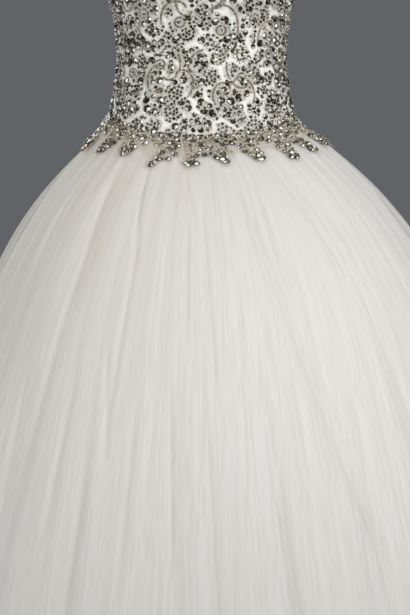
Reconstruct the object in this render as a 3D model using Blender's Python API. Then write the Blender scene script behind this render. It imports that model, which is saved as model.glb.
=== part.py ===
"""A strapless ball gown: a beaded bodice, a hip applique with pendants, a gathered tulle skirt
over an underskirt, and a zip at centre back.

Metres, +Z up. The origin is the centre of the wearer's waist, the front faces -Y, and +X is the
wearer's left. An angle goes round the body in degrees: 0 at centre front, 90 at +X, 180 at the
back. A drop is the height below the seam that joins the bodice to the skirt.
"""

import math

import bmesh
import bpy
from mathutils import Matrix, Vector
from mathutils.geometry import delaunay_2d_cdt

# Driving sizes
WALL = 0.002  # satin bodice and layered tulle
APPLIQUE_WALL = 0.0012
UNDERSKIRT_WALL = 0.0015
TAPE_WALL = 0.001
GAP = 0.0003  # between pieces at a seam
CLEAR = 0.0005  # between a piece and what lies on it
TAPE_CLEAR = 0.0007  # between the back panels and the zip tape inside them
HEM = -1.080
UNDERSKIRT_HEM = -1.062

# The bodice's outer sections, from the pendants up to the neckline
BODICE_COLUMNS = ("height", "half_width", "front", "back")
BODICE = (
    (-0.135, 0.158, 0.122, 0.127),
    (-0.096, 0.144, 0.111, 0.114),
    (-0.055, 0.135, 0.101, 0.099),
    (0.000, 0.128, 0.094, 0.084),
    (0.045, 0.131, 0.100, 0.085),
    (0.092, 0.140, 0.113, 0.090),
    (0.150, 0.150, 0.121, 0.092),
    (0.200, 0.152, 0.115, 0.088),
    (0.245, 0.149, 0.104, 0.084),
)
SQUARENESS = 0.03  # how far a section swells between its four sides

# A cup is a soft mound in the front, on each side of the centre
CUP_ANGLE = 34
CUP_SPREAD = 20
CUP_HEIGHT = 0.146
CUP_TALL = 0.050
CUP_RISE = 0.020

NECKLINE_COLUMNS = ("angle", "height")
NECKLINE = (
    (0, 0.178),
    (12, 0.200),
    (32, 0.236),
    (52, 0.226),
    (90, 0.194),
    (130, 0.176),
    (180, 0.168),
)

# The seam under the bodice dips to a soft point in front and a smaller one behind
SEAM_SIDE = -0.096
SEAM_DIP_FRONT = 0.032
SEAM_DIP_BACK = 0.022

# How far the skirt stands out from the seam, drop by drop, and how far it swings to +X
FLARE_COLUMNS = ("drop", "spread", "swing")
FLARE = (
    (0.000, 0.001, 0.000),
    (0.012, 0.012, 0.003),
    (0.033, 0.034, 0.009),
    (0.082, 0.089, 0.014),
    (0.131, 0.129, 0.017),
    (0.204, 0.177, 0.021),
    (0.304, 0.228, 0.024),
    (0.504, 0.310, 0.028),
    (0.704, 0.380, 0.031),
    (0.990, 0.462, 0.034),
)

GATHER_COLUMNS = ("drop", "rise")
GATHER = (
    (0.00, 0.0034),
    (0.04, 0.0060),
    (0.15, 0.0085),
    (0.40, 0.0110),
    (0.99, 0.0140),
)
GORES = 7
GATHERS_PER_GORE = 8
GATHERS = GORES * GATHERS_PER_GORE
GATHER_SINK = 0.35  # share of the rise that lies below the mean surface
GATHER_STEPS = (0.0, 0.36, 0.68)  # where each gather has its columns
TALLEST_GATHER = 1.25
SKIRT_ROWS = (0.0, 0.014, 0.040, 0.09, 0.15, 0.24, 0.37, 0.55, 0.77, 1.0)

# The largest folds. The first eleven are those in front, the others are like them behind
FOLD_COLUMNS = ("top_angle", "low_angle", "start", "end", "depth", "half_width")
FOLDS = (
    (12, 26, 0.05, 0.52, -0.015, 3.6),
    (-3, 1, 0.05, 0.26, -0.010, 3.0),
    (-37, -39, 0.05, 0.25, -0.011, 4.0),
    (30, 41, 0.04, 0.16, -0.012, 4.5),
    (-10, -8, 0.36, 0.84, -0.013, 3.4),
    (-1, 1, 0.34, 0.96, -0.012, 3.0),
    (12, 15, 0.40, 0.99, -0.022, 3.8),
    (25, 30, 0.36, 0.99, -0.019, 3.6),
    (41, 44, 0.30, 0.99, -0.018, 4.2),
    (-41, -40, 0.34, 0.92, -0.017, 4.2),
    (-27, -25, 0.50, 0.99, -0.015, 3.6),
    (-58, -62, 0.12, 0.80, -0.016, 4.4),
    (66, 71, 0.08, 0.70, -0.018, 4.6),
    (88, 92, 0.30, 0.99, -0.019, 4.4),
    (-86, -83, 0.22, 0.99, -0.017, 4.2),
    (-108, -114, 0.06, 0.60, -0.015, 4.4),
    (112, 117, 0.14, 0.90, -0.016, 4.2),
    (136, 131, 0.34, 0.99, -0.020, 4.0),
    (-133, -130, 0.40, 0.99, -0.018, 3.8),
    (158, 163, 0.10, 0.66, -0.015, 3.8),
    (-156, -161, 0.08, 0.99, -0.017, 4.2),
    (177, 175, 0.36, 0.99, -0.014, 3.4),
)
FOLD_FADE = 0.05

UNDERSKIRT_COLUMNS = ("drop", "inset")
UNDERSKIRT = ((0.00, 0.0044), (0.04, 0.010), (0.12, 0.024), (0.40, 0.036), (0.99, 0.044))
UNDERSKIRT_ROWS = (0.0, 0.02, 0.06, 0.14, 0.28, 0.55, 1.0)
UNDERSKIRT_STEP = 7.5  # degrees between its columns
UNDERSKIRT_SIDE = 60  # its side seams; the third seam is at centre back

# The bodice's seams: the angle of each at a few heights, the same on both sides
SEAM_COLUMNS = ("height", "princess", "side", "back_princess")
SEAMS = (
    (-0.135, 27, 92, 150),
    (0.000, 22, 91, 146),
    (0.092, 25, 90, 142),
    (0.150, 31, 90, 138),
    (0.245, 33, 90, 134),
)
BODICE_ROWS = 11
COLUMN_WIDTH = 0.018
ZIP_HALF_OPENING = 0.0011

# Raised crystals: a six-sided cone each
CRYSTAL_RADIUS = 0.0055
CRYSTAL_RISE = 0.0034
CRYSTAL_PITCH = 0.032
CRYSTAL_MARGIN = 0.011
CRYSTAL_SIDES = 6

# The applique starts above the seam and hangs over the gathers in pendants
PENDANTS = 22
APPLIQUE_OVER = 0.012
APPLIQUE_VALLEY = 0.017
APPLIQUE_TIP_MEAN = 0.044
APPLIQUE_TIP_SWING = 0.005
APPLIQUE_SEAMS = (-11, -7, -3, 3, 7, 11)  # in pendants from centre front
PENDANT_POINTS = 6

# The zip
ZIP_HALF_TAPE = 0.011
ZIP_TOP = 0.004  # below the neckline
ZIP_FOOT = 0.006  # above the seam
SLIDER_HEIGHT = 0.148
SLIDER = (0.0064, 0.0016, 0.0110)
NECK_WIDTH = 0.0010
PIN_RADIUS = 0.0006
PIN_OUT = 0.0022  # from the slider's face to the pin's axis
EAR = (0.0008, 0.0034, 0.0030)
EAR_SPACING = 0.0034
TAB_WIDTH = 0.0042
TAB_EYE_WIDTH = 0.0022
TAB_EYE_RADIUS = 0.0010
TAB_HEAD_RADIUS = 0.0017
TAB_LENGTH = 0.020
TAB_THICKNESS = 0.0010


def curve(columns, table, column, at):
    """Smooth reading of one column of a table at a value of its first column."""
    at = min(max(at, table[0][0]), table[-1][0])
    pick = columns.index(column)
    right = next((i for i in range(1, len(table)) if table[i][0] >= at), len(table) - 1)
    left = right - 1

    def slope(i):
        low, high = max(i - 1, 0), min(i + 1, len(table) - 1)
        return (table[high][pick] - table[low][pick]) / (table[high][0] - table[low][0])

    span = table[right][0] - table[left][0]
    f = (at - table[left][0]) / span
    value = table[left][pick] * (2 * f**3 - 3 * f**2 + 1)
    value += table[right][pick] * (3 * f**2 - 2 * f**3)
    value += span * slope(left) * (f**3 - 2 * f**2 + f)
    return value + span * slope(right) * (f**3 - f**2)


def smooth_step(value):
    value = min(max(value, 0.0), 1.0)
    return value * value * (3 - 2 * value)


def uneven(index):
    """A steady number from 0 to 1 for a whole number, with no order to it."""
    return (math.sin(index * 12.9898 + 4.1) * 43758.5453) % 1.0


def outward(angle):
    return Vector((math.sin(math.radians(angle)), -math.cos(math.radians(angle)), 0))


def wrapped(angle):
    """The same direction as an angle from -180 to 180."""
    return (angle + 180) % 360 - 180


# ---------------------------------------------------------------- the bodice's form


def body(angle, height):
    """A point on the bodice's outer surface."""
    turn = math.radians(angle)
    depth = curve(BODICE_COLUMNS, BODICE, "front" if math.cos(turn) > 0 else "back", height)
    width = curve(BODICE_COLUMNS, BODICE, "half_width", height)
    swell = 1 + SQUARENESS * math.sin(2 * turn) ** 2
    point = Vector((width * math.sin(turn) * swell, -depth * math.cos(turn) * swell, height))
    across = (abs(wrapped(angle)) - CUP_ANGLE) / CUP_SPREAD
    along = (height - CUP_HEIGHT) / CUP_TALL
    return point + outward(angle) * CUP_RISE * math.exp(-across * across - along * along)


def body_out(angle, height):
    """The level direction that leaves the bodice squarely."""
    around = body(angle + 0.5, height) - body(angle - 0.5, height)
    return Vector((around.y, -around.x, 0)).normalized()


def neckline(angle):
    return curve(NECKLINE_COLUMNS, NECKLINE, "height", abs(wrapped(angle)))


def seam_height(angle):
    facing = math.cos(math.radians(angle))
    dip = SEAM_DIP_FRONT if facing > 0 else SEAM_DIP_BACK
    return SEAM_SIDE - dip * facing * facing


# ---------------------------------------------------------------- the skirt's form


def skirt(angle, drop):
    """A point on the skirt's mean surface, without gathers or folds."""
    top = seam_height(angle)
    spread = curve(FLARE_COLUMNS, FLARE, "spread", drop)
    swing = curve(FLARE_COLUMNS, FLARE, "swing", drop)
    return body(angle, top) + outward(angle) * spread + Vector((swing, 0, -drop))


def skirt_out(angle, drop):
    """The way a gather rises: level at the seam, then square to the surface."""
    around = skirt(angle + 0.5, drop) - skirt(angle - 0.5, drop)
    down = skirt(angle, drop + 0.004) - skirt(angle, max(drop - 0.004, 0))
    square = down.cross(around).normalized()
    level = body_out(angle, seam_height(angle))
    return level.lerp(square, smooth_step(drop / 0.04)).normalized()


def gather_rise(drop):
    return curve(GATHER_COLUMNS, GATHER, "rise", drop)


def gather(angle, drop):
    """How far the gathers lift the tulle at this place."""
    turns = (angle % 360) / 360 * GATHERS
    size = 0.75 + (TALLEST_GATHER - 0.75) * uneven(math.floor(turns))
    wave = 0.5 - 0.5 * math.cos(2 * math.pi * turns)
    return gather_rise(drop) * (size * wave - GATHER_SINK)


def folds(angle, drop):
    """How far the largest folds move the tulle at this place."""
    moved = 0.0
    for top_angle, low_angle, start, end, depth, half_width in FOLDS:
        share = min(max((drop - start) / (end - start), 0), 1)
        off = wrapped(angle - top_angle - (low_angle - top_angle) * share) / half_width
        if abs(off) < 3:
            fade = smooth_step((drop - start) / FOLD_FADE + 0.5)
            fade *= smooth_step((end - drop) / FOLD_FADE + 0.5) if end < 0.95 else 1
            moved += depth * fade * math.exp(-off * off)
    return moved


def skirt_length(angle, hem):
    return seam_height(angle) - hem


# ---------------------------------------------------------------- meshes and materials


def material(name, colour, roughness, metallic=0.0):
    made = bpy.data.materials.new(name)
    made.use_nodes = True
    shader = made.node_tree.nodes["Principled BSDF"]
    shader.inputs["Base Color"].default_value = (*colour, 1)
    shader.inputs["Roughness"].default_value = roughness
    shader.inputs["Metallic"].default_value = metallic
    return made


def add_object(name, points, faces, look, collection):
    mesh = bpy.data.meshes.new(name)
    mesh.from_pydata([tuple(p) for p in points], [], faces)
    mesh.materials.append(look)
    mesh.update()
    made = bpy.data.objects.new(name, mesh)
    collection.objects.link(made)
    return made


def grid_wall(name, outer, inner, look, collection):
    """A closed wall between two grids of points, each a list of rows from top to hem."""
    rows, columns = len(outer), len(outer[0])
    points = [p for row in outer for p in row] + [p for row in inner for p in row]
    below = rows * columns
    faces = []
    for r in range(rows - 1):
        for c in range(columns - 1):
            a = r * columns + c
            faces.append((a, a + columns, a + columns + 1, a + 1))
            faces.append(tuple(below + i for i in (a, a + 1, a + columns + 1, a + columns)))
    rim = [(0, c) for c in range(columns)] + [(r, columns - 1) for r in range(1, rows)]
    rim += [(rows - 1, c) for c in range(columns - 2, -1, -1)]
    rim += [(r, 0) for r in range(rows - 2, 0, -1)]
    rim = [r * columns + c for r, c in rim]
    for a, b in zip(rim, rim[1:] + rim[:1]):
        faces.append((a, b, below + b, below + a))
    return add_object(name, points, faces, look, collection)


def outline_wall(name, outline, lattice, crystals, outer, inner, look, collection):
    """A closed wall inside an outline, with crystals raised from its outer side.

    Flat places are (across, up) in metres. outer(place, rise) and inner(place) put them in space.
    """
    count = len(outline)
    ring_step = 2 * math.pi / CRYSTAL_SIDES
    keep_off = 1.35 * CRYSTAL_RADIUS
    flat = list(outline)
    flat += [p for p in lattice if all((p - c).length > keep_off for c in crystals)]
    rises = [0.0] * len(flat)
    edges = [(i, (i + 1) % count) for i in range(count)]
    for centre in crystals:
        first = len(flat)
        for i in range(CRYSTAL_SIDES):
            spoke = Vector((math.cos(i * ring_step), math.sin(i * ring_step)))
            flat.append(centre + spoke * CRYSTAL_RADIUS)
            edges.append((first + i, first + (i + 1) % CRYSTAL_SIDES))
        flat.append(centre)
        rises += [0.0] * CRYSTAL_SIDES + [CRYSTAL_RISE]
    points, faces = [], []
    for places, lifts, ties in ((flat, rises, edges), (outline + lattice, None, edges[:count])):
        made = delaunay_2d_cdt(places, ties, [tuple(range(count))], 1, 1e-7)
        start = len(points)
        source = [sorted(ids)[0] for ids in made[3]]
        order = {made_index: start + i for made_index, i in enumerate(source)}
        if lifts:
            points += [outer(p, lift) for p, lift in zip(places, lifts)]
            faces += [tuple(order[i] for i in face) for face in made[2]]
        else:
            points += [inner(p) for p in places]
            faces += [tuple(order[i] for i in reversed(face)) for face in made[2]]
    back = len(flat)
    for i in range(count):
        j = (i + 1) % count
        faces.append((j, i, back + i, back + j))
    return add_object(name, points, faces, look, collection)


# ---------------------------------------------------------------- the bodice


ACROSS = 0.00215  # metres of bodice for each degree, near enough to lay its panels flat


def bodice_panel(name, low_seam, high_seam, look, collection):
    """One panel between two seams, each a function from height to angle."""

    def place(across, up):
        """A flat place from shares of the panel's width and height."""
        angle = 0.5 * (low_seam(0) + high_seam(0))
        for _ in range(4):
            height = seam_height(angle) + up * (neckline(angle) - seam_height(angle))
            angle = low_seam(height) + across * (high_seam(height) - low_seam(height))
        return Vector((angle * ACROSS, height))

    columns = math.ceil((high_seam(0) - low_seam(0)) * ACROSS * 1.1 / COLUMN_WIDTH)
    grid = [
        [place(c / columns, r / BODICE_ROWS) for c in range(columns + 1)]
        for r in range(BODICE_ROWS + 1)
    ]
    outline = grid[0] + [row[-1] for row in grid[1:-1]] + grid[-1][::-1]
    outline += [row[0] for row in grid[-2:0:-1]]
    lattice = [p for row in grid[1:-1] for p in row[1:-1]]

    def outer(flat, rise):
        angle = flat.x / ACROSS
        return body(angle, flat.y) + body_out(angle, flat.y) * rise

    def inner(flat):
        angle = flat.x / ACROSS
        return body(angle, flat.y) - body_out(angle, flat.y) * WALL

    crystals = panel_crystals(low_seam, high_seam)
    return outline_wall(name, outline, lattice, crystals, outer, inner, look, collection)


def panel_crystals(low_seam, high_seam):
    """Places of the large crystals on a panel: staggered rows, a little uneven."""
    places = []
    rows = 11
    for row in range(rows):
        middle = 0.5 * (low_seam(0) + high_seam(0))
        height = SEAM_SIDE + 0.030 + row * CRYSTAL_PITCH * 0.94
        room = (high_seam(height) - low_seam(height)) * ACROSS - 2 * CRYSTAL_MARGIN
        count = max(round(room / CRYSTAL_PITCH), 1)
        for i in range(count + row % 2):
            share = (i + 0.5 * (1 - row % 2)) / count
            seed = round(middle) * 7 + row * 13 + i
            across = low_seam(height) * ACROSS + CRYSTAL_MARGIN + room * share
            centre = Vector((across, height + 0.006 * (uneven(seed) - 0.5)))
            angle = centre.x / ACROSS
            low = seam_height(angle) + APPLIQUE_OVER + CRYSTAL_MARGIN
            if low < centre.y < neckline(angle) - CRYSTAL_MARGIN:
                places.append(centre)
    return places


def seam_line(column, side, shift):
    """A seam on one side of the body as a function of height, moved by half a gap."""

    def angle(height):
        degrees = shift / ACROSS * 1.25
        return side * curve(SEAM_COLUMNS, SEAMS, column, height) + degrees

    return angle


def centre_back(side):
    return lambda height: side * (180 - ZIP_HALF_OPENING / ACROSS * 1.25)


def make_bodice(look, collection):
    half = GAP / 2
    bodice_panel(
        "bodice_front",
        seam_line("princess", -1, half),
        seam_line("princess", 1, -half),
        look,
        collection,
    )
    for side, word in ((1, "left"), (-1, "right")):
        lines = [seam_line(c, side, side * half) for c in SEAM_COLUMNS[1:]]
        ends = [seam_line(c, side, -side * half) for c in SEAM_COLUMNS[2:]] + [centre_back(side)]
        for piece, start, end in zip(("side_front", "side_back", "back"), lines, ends):
            low, high = (start, end) if side > 0 else (end, start)
            bodice_panel(f"bodice_{piece}_{word}", low, high, look, collection)


# ---------------------------------------------------------------- the hip applique


APPLIQUE_ACROSS = 0.0029  # metres for each degree
PENDANT_ANGLE = 360 / PENDANTS


def applique_edge(angle):
    """The drop of its lower edge: a leaf-shaped pendant in each step round the hips."""
    turns = angle / PENDANT_ANGLE
    tip = APPLIQUE_TIP_MEAN + APPLIQUE_TIP_SWING * (2 * uneven(math.floor(turns)) - 1)
    share = 1 - abs(2 * (turns % 1.0) - 1)
    return APPLIQUE_VALLEY + (tip - APPLIQUE_VALLEY) * share**1.25


def applique_point(angle, drop, out):
    """A place over the bodice where the drop is below 0, and over the gathers under it."""
    lift = gather_rise(max(drop, 0)) * (TALLEST_GATHER - GATHER_SINK)
    if drop < 0:
        height = seam_height(angle) - drop
        lift *= 1 - smooth_step(-drop / APPLIQUE_OVER)
        return body(angle, height) + body_out(angle, height) * (lift + out)
    lift += max(folds(angle, drop), 0)
    return skirt(angle, drop) + skirt_out(angle, drop) * (lift + out)


def make_applique(look, collection):
    names = ("back_right", "side_right", "front", "side_left", "back_left")
    for name, first, last in zip(names, APPLIQUE_SEAMS, APPLIQUE_SEAMS[1:]):
        inset = GAP / APPLIQUE_ACROSS
        start = first * PENDANT_ANGLE + inset
        end = last * PENDANT_ANGLE - inset
        steps = (last - first) * PENDANT_POINTS
        angles = [start + (end - start) * i / steps for i in range(steps + 1)]
        lower = [Vector((a * APPLIQUE_ACROSS, -applique_edge(a))) for a in angles]
        upper = [Vector((a * APPLIQUE_ACROSS, APPLIQUE_OVER)) for a in angles[::2]]
        middle = APPLIQUE_OVER / 3
        sides = [Vector((a * APPLIQUE_ACROSS, v)) for v in (-0.006, middle) for a in (start, end)]
        outline = lower + [sides[1], sides[3]] + upper[::-1] + [sides[2], sides[0]]
        lattice = []
        for up in (middle, -0.006, -0.016, -0.028):
            for a in angles[2:-1:2]:
                if applique_edge(a) + up > 0.006:
                    lattice.append(Vector((a * APPLIQUE_ACROSS, up)))
        crystals = []
        for pendant in range(first, last):
            middle_angle = (pendant + 0.5) * PENDANT_ANGLE
            low = -applique_edge(middle_angle) + 0.0135
            crystals.append(Vector((middle_angle * APPLIQUE_ACROSS, low)))
            if pendant > first:
                crystals.append(Vector((pendant * PENDANT_ANGLE * APPLIQUE_ACROSS, -0.002)))

        def outer(flat, rise):
            lift = CLEAR + APPLIQUE_WALL + rise
            return applique_point(flat.x / APPLIQUE_ACROSS, -flat.y, lift)

        def inner(flat):
            return applique_point(flat.x / APPLIQUE_ACROSS, -flat.y, CLEAR)

        outline_wall(f"applique_{name}", outline, lattice, crystals, outer, inner, look, collection)


# ---------------------------------------------------------------- the skirt


def make_tulle(look, collection):
    """Seven gores, the first centred on the front, with a seam at centre back."""
    names = ("front", "front_left", "side_left", "back_left")
    names += ("back_right", "side_right", "front_right")
    width = 360 / GORES
    for gore, name in enumerate(names):
        start = (gore - 0.5) * width
        steps = [g + f for g in range(GATHERS_PER_GORE) for f in GATHER_STEPS]
        places = [start + width * s / GATHERS_PER_GORE for s in steps] + [start + width]
        outer, inner = [], []
        for share in SKIRT_ROWS:
            outer.append([])
            inner.append([])
            for i, angle in enumerate(places):
                drop = GAP + share * (skirt_length(angle, HEM) - GAP)
                shift = (i == 0) - (i == len(steps))
                lift = gather(angle, drop) + folds(angle, drop)
                out = skirt_out(angle, drop)
                middle = skirt(angle, drop)
                aside = Vector((-out.y, out.x, 0)).normalized() * shift * GAP / 2
                outer[-1].append(middle + out * lift + aside)
                inner[-1].append(middle + out * (lift - WALL) + aside)
        grid_wall(f"skirt_{name}", outer, inner, look, collection)


def make_underskirt(look, collection):
    """Three smooth panels that hang inside the tulle."""
    seams = (-UNDERSKIRT_SIDE, UNDERSKIRT_SIDE, 180, 360 - UNDERSKIRT_SIDE)
    for name, start, end in zip(("front", "back_left", "back_right"), seams, seams[1:]):
        steps = round((end - start) / UNDERSKIRT_STEP)
        outer, inner = [], []
        for share in UNDERSKIRT_ROWS:
            outer.append([])
            inner.append([])
            for i in range(steps + 1):
                angle = start + (end - start) * i / steps
                drop = GAP + share * (skirt_length(angle, UNDERSKIRT_HEM) - GAP)
                inset = curve(UNDERSKIRT_COLUMNS, UNDERSKIRT, "inset", drop)
                out = skirt_out(angle, drop)
                middle = skirt(angle, drop)
                shift = (i == 0) - (i == steps)
                aside = Vector((-out.y, out.x, 0)).normalized() * shift * GAP / 2
                outer[-1].append(middle - out * inset + aside)
                inner[-1].append(middle - out * (inset + UNDERSKIRT_WALL) + aside)
        grid_wall(f"underskirt_{name}", outer, inner, look, collection)


# ---------------------------------------------------------------- the zip


def block(name, size, centre, look, collection):
    """A box with its scale applied."""
    shape = bmesh.new()
    bmesh.ops.create_cube(shape, size=1)
    bmesh.ops.transform(shape, matrix=Matrix.Diagonal((*size, 1)), verts=shape.verts)
    bmesh.ops.translate(shape, vec=centre, verts=shape.verts)
    return mesh_object(name, shape, look, collection)


def rod(name, radius, length, centre, look, collection, sides=12):
    """A cylinder along X."""
    shape = bmesh.new()
    turned = Matrix.Translation(centre) @ Matrix.Rotation(math.pi / 2, 4, "Y")
    bmesh.ops.create_cone(
        shape,
        cap_ends=True,
        segments=sides,
        radius1=radius,
        radius2=radius,
        depth=length,
        matrix=turned,
    )
    return mesh_object(name, shape, look, collection)


def mesh_object(name, shape, look, collection):
    mesh = bpy.data.meshes.new(name)
    shape.to_mesh(mesh)
    shape.free()
    mesh.materials.append(look)
    made = bpy.data.objects.new(name, mesh)
    collection.objects.link(made)
    return made


def combine(target, others, operation):
    for other in others:
        other.hide_render = True
        other.display_type = "WIRE"
        step = target.modifiers.new(other.name, "BOOLEAN")
        step.operation = operation
        step.object = other


def make_zip(tape_look, metal, collection, cutters):
    columns = 4
    half_angle = ZIP_HALF_TAPE / ACROSS
    outer, inner = [], []
    for r in range(BODICE_ROWS, -1, -1):
        height = seam_height(180) + (neckline(180) - seam_height(180)) * r / BODICE_ROWS
        height += ZIP_FOOT * (r == 0) - ZIP_TOP * (r == BODICE_ROWS)
        angles = [180 + half_angle * (2 * c / columns - 1) for c in range(columns + 1)]
        backs = [(body(a, height), body_out(a, height)) for a in angles]
        outer.append([p - n * (WALL + TAPE_CLEAR) for p, n in backs])
        inner.append([p - n * (WALL + TAPE_CLEAR + TAPE_WALL) for p, n in backs])
    grid_wall("zip_tape", outer, inner, tape_look, collection)

    # The slider's plate lies outside the panels, and its neck goes between them to the tape
    face = body(180, SLIDER_HEIGHT).y + CLEAR
    foot = body(180, SLIDER_HEIGHT - SLIDER[2] / 2).y + CLEAR
    plate_y = max(face, foot) + SLIDER[1] / 2
    plate = block("zip_slider", SLIDER, (0, plate_y, SLIDER_HEIGHT), metal, collection)
    neck_depth = SLIDER[1] / 2 + CLEAR + WALL
    neck = block(
        "slider_neck",
        (NECK_WIDTH, neck_depth, SLIDER[2] * 0.7),
        (0, plate_y - neck_depth / 2, SLIDER_HEIGHT),
        metal,
        cutters,
    )
    pin_y = plate_y + SLIDER[1] / 2 + PIN_OUT
    pin_z = SLIDER_HEIGHT + SLIDER[2] / 2 - EAR[2] / 2 - 0.001
    ear_y = pin_y - EAR[1] / 2 + PIN_RADIUS * 1.8
    ears = [
        block(f"slider_ear_{i}", EAR, (s * EAR_SPACING / 2, ear_y, pin_z), metal, cutters)
        for i, s in enumerate((-1, 1))
    ]
    pin = rod("slider_pin", PIN_RADIUS, EAR_SPACING, (0, pin_y, pin_z), metal, cutters)
    combine(plate, [neck, *ears, pin], "UNION")

    # The pull hangs from the pin, on which its eye turns
    tab = bmesh.new()
    turned = Matrix.Rotation(math.pi / 2, 4, "Y")
    bmesh.ops.create_cone(
        tab,
        cap_ends=True,
        segments=20,
        radius1=TAB_HEAD_RADIUS,
        radius2=TAB_HEAD_RADIUS,
        depth=TAB_EYE_WIDTH,
        matrix=turned,
    )
    pull = mesh_object("zip_pull", tab, metal, collection)
    pull.location = (0, pin_y, pin_z)
    leaf = bpy.data.curves.new("pull_leaf", "CURVE")
    leaf.dimensions = "2D"
    leaf.fill_mode = "BOTH"
    leaf.extrude = TAB_THICKNESS / 2
    line = leaf.splines.new("POLY")
    line.use_cyclic_u = True
    outline = pull_outline()
    line.points.add(len(outline) - 1)
    for point, (x, z) in zip(line.points, outline):
        point.co = (x, z, 0, 1)
    flat = bpy.data.objects.new("pull_leaf", leaf)
    cutters.objects.link(flat)
    flat.matrix_world = Matrix.Translation((0, pin_y, pin_z)) @ Matrix.Rotation(math.pi / 2, 4, "X")
    solid_leaf = curve_to_mesh(flat, metal, cutters)
    eye = rod("pull_eye", TAB_EYE_RADIUS, 3 * TAB_WIDTH, (0, pin_y, pin_z), metal, cutters, 16)
    combine(pull, [solid_leaf], "UNION")
    combine(pull, [eye], "DIFFERENCE")


def pull_outline():
    """Half width against depth below the pin, as a long leaf."""
    steps = 12
    half = []
    for i in range(steps + 1):
        share = i / steps
        width = TAB_EYE_WIDTH * 0.5 * (1 - share) ** 2
        width += TAB_WIDTH * 0.5 * math.sin(math.pi * min(share * 1.02, 1) ** 1.6) ** 0.8
        depth = TAB_EYE_RADIUS + 0.0003 + (TAB_LENGTH - TAB_EYE_RADIUS) * share
        half.append((max(width, 0.0004), -depth))
    return half + [(-x, z) for x, z in reversed(half)]


def curve_to_mesh(source, look, collection):
    """A filled curve as a closed mesh with welded caps."""
    bpy.context.view_layer.update()
    graph = bpy.context.evaluated_depsgraph_get()
    mesh = bpy.data.meshes.new_from_object(source.evaluated_get(graph))
    shape = bmesh.new()
    shape.from_mesh(mesh)
    bmesh.ops.remove_doubles(shape, verts=shape.verts, dist=1e-6)
    bmesh.ops.recalc_face_normals(shape, faces=shape.faces)
    made = mesh_object(source.name + "_solid", shape, look, collection)
    made.matrix_world = source.matrix_world
    bpy.data.objects.remove(source)
    bpy.data.meshes.remove(mesh)
    return made


def main():
    for old in list(bpy.data.objects):
        bpy.data.objects.remove(old)
    dress = bpy.data.collections.new("wedding_dress")
    cutters = bpy.data.collections.new("cutters")
    for collection in (dress, cutters):
        bpy.context.scene.collection.children.link(collection)
    satin = material("beaded_satin", (0.47, 0.45, 0.40), 0.45)
    lace = material("beaded_applique", (0.52, 0.50, 0.45), 0.5)
    tulle = material("ivory_tulle", (0.75, 0.73, 0.68), 0.8)
    lining = material("ivory_underskirt", (0.70, 0.67, 0.60), 0.6)
    tape = material("zip_tape", (0.72, 0.70, 0.64), 0.8)
    metal = material("zip_metal", (0.75, 0.75, 0.76), 0.25, 1.0)
    make_bodice(satin, dress)
    make_applique(lace, dress)
    make_tulle(tulle, dress)
    make_underskirt(lining, dress)
    make_zip(tape, metal, dress, cutters)


main()
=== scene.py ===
import math

import bpy
import numpy as np
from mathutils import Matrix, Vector


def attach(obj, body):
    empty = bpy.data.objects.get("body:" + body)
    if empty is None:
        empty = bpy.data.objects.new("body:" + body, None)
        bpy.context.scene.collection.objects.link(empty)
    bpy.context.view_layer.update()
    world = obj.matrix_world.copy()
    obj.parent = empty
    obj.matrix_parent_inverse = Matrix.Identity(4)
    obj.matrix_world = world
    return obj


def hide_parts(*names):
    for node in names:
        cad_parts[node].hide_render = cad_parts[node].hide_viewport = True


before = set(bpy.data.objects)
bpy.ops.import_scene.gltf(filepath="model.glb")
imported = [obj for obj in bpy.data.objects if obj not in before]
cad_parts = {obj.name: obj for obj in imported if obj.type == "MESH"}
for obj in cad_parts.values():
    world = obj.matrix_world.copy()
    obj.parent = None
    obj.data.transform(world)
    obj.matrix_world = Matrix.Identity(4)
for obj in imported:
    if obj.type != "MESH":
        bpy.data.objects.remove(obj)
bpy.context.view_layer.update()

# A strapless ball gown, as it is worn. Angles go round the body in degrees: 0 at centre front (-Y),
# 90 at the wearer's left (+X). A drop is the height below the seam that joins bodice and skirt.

# ---------------------------------------------------------------- the bodice panels
# Seven panels of ivory duchess satin, cut between the princess, side and back seams and boned to
# the body. The panels are sewn edge to edge, and turned in along the neckline and the zip.

SATIN_WALL = 0.002
SEAM_GAP = 0.0003
SEWN_GAP = 0.00003  # between panels that are sewn edge to edge
SEAM_TUCK = 0.0007  # how far the satin dips into a seam
SEAM_TUCK_WIDTH = 0.0022
EDGE_ROUND = 0.0016  # the neckline's turned edge
EDGE_TURN_OUT, EDGE_TURN_IN = 0.4, 0.3  # how far each side turns in there, as shares of the wall
PANEL_ROWS = 96
PANEL_PITCH = 0.0034
PANEL_EASE = 1.1  # a panel's width above its waist, as a share of the width there
ACROSS = 0.00215  # metres of bodice for each degree, near enough to lay it flat
GAP_DEGREES = 1.25 / ACROSS  # a gap in degrees at the waist, where a degree is narrowest
ZIP_HALF_OPENING = 0.0011

BODICE_COLUMNS = ("height", "half_width", "front", "back")
BODICE = (
    (-0.135, 0.158, 0.122, 0.127),
    (-0.096, 0.144, 0.111, 0.114),
    (-0.055, 0.135, 0.101, 0.099),
    (0.000, 0.128, 0.094, 0.084),
    (0.045, 0.131, 0.100, 0.085),
    (0.092, 0.140, 0.113, 0.090),
    (0.150, 0.150, 0.121, 0.092),
    (0.200, 0.152, 0.115, 0.088),
    (0.245, 0.149, 0.104, 0.084),
)
SQUARENESS = 0.03
CUP_ANGLE, CUP_SPREAD = 34, 20
CUP_HEIGHT, CUP_TALL, CUP_RISE = 0.146, 0.050, 0.020

NECKLINE_COLUMNS = ("angle", "height")
NECKLINE = (
    (0, 0.178),
    (12, 0.200),
    (32, 0.236),
    (52, 0.226),
    (90, 0.194),
    (130, 0.176),
    (180, 0.168),
)
SEAM_SIDE, SEAM_DIP_FRONT, SEAM_DIP_BACK = -0.096, 0.032, 0.022

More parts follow.
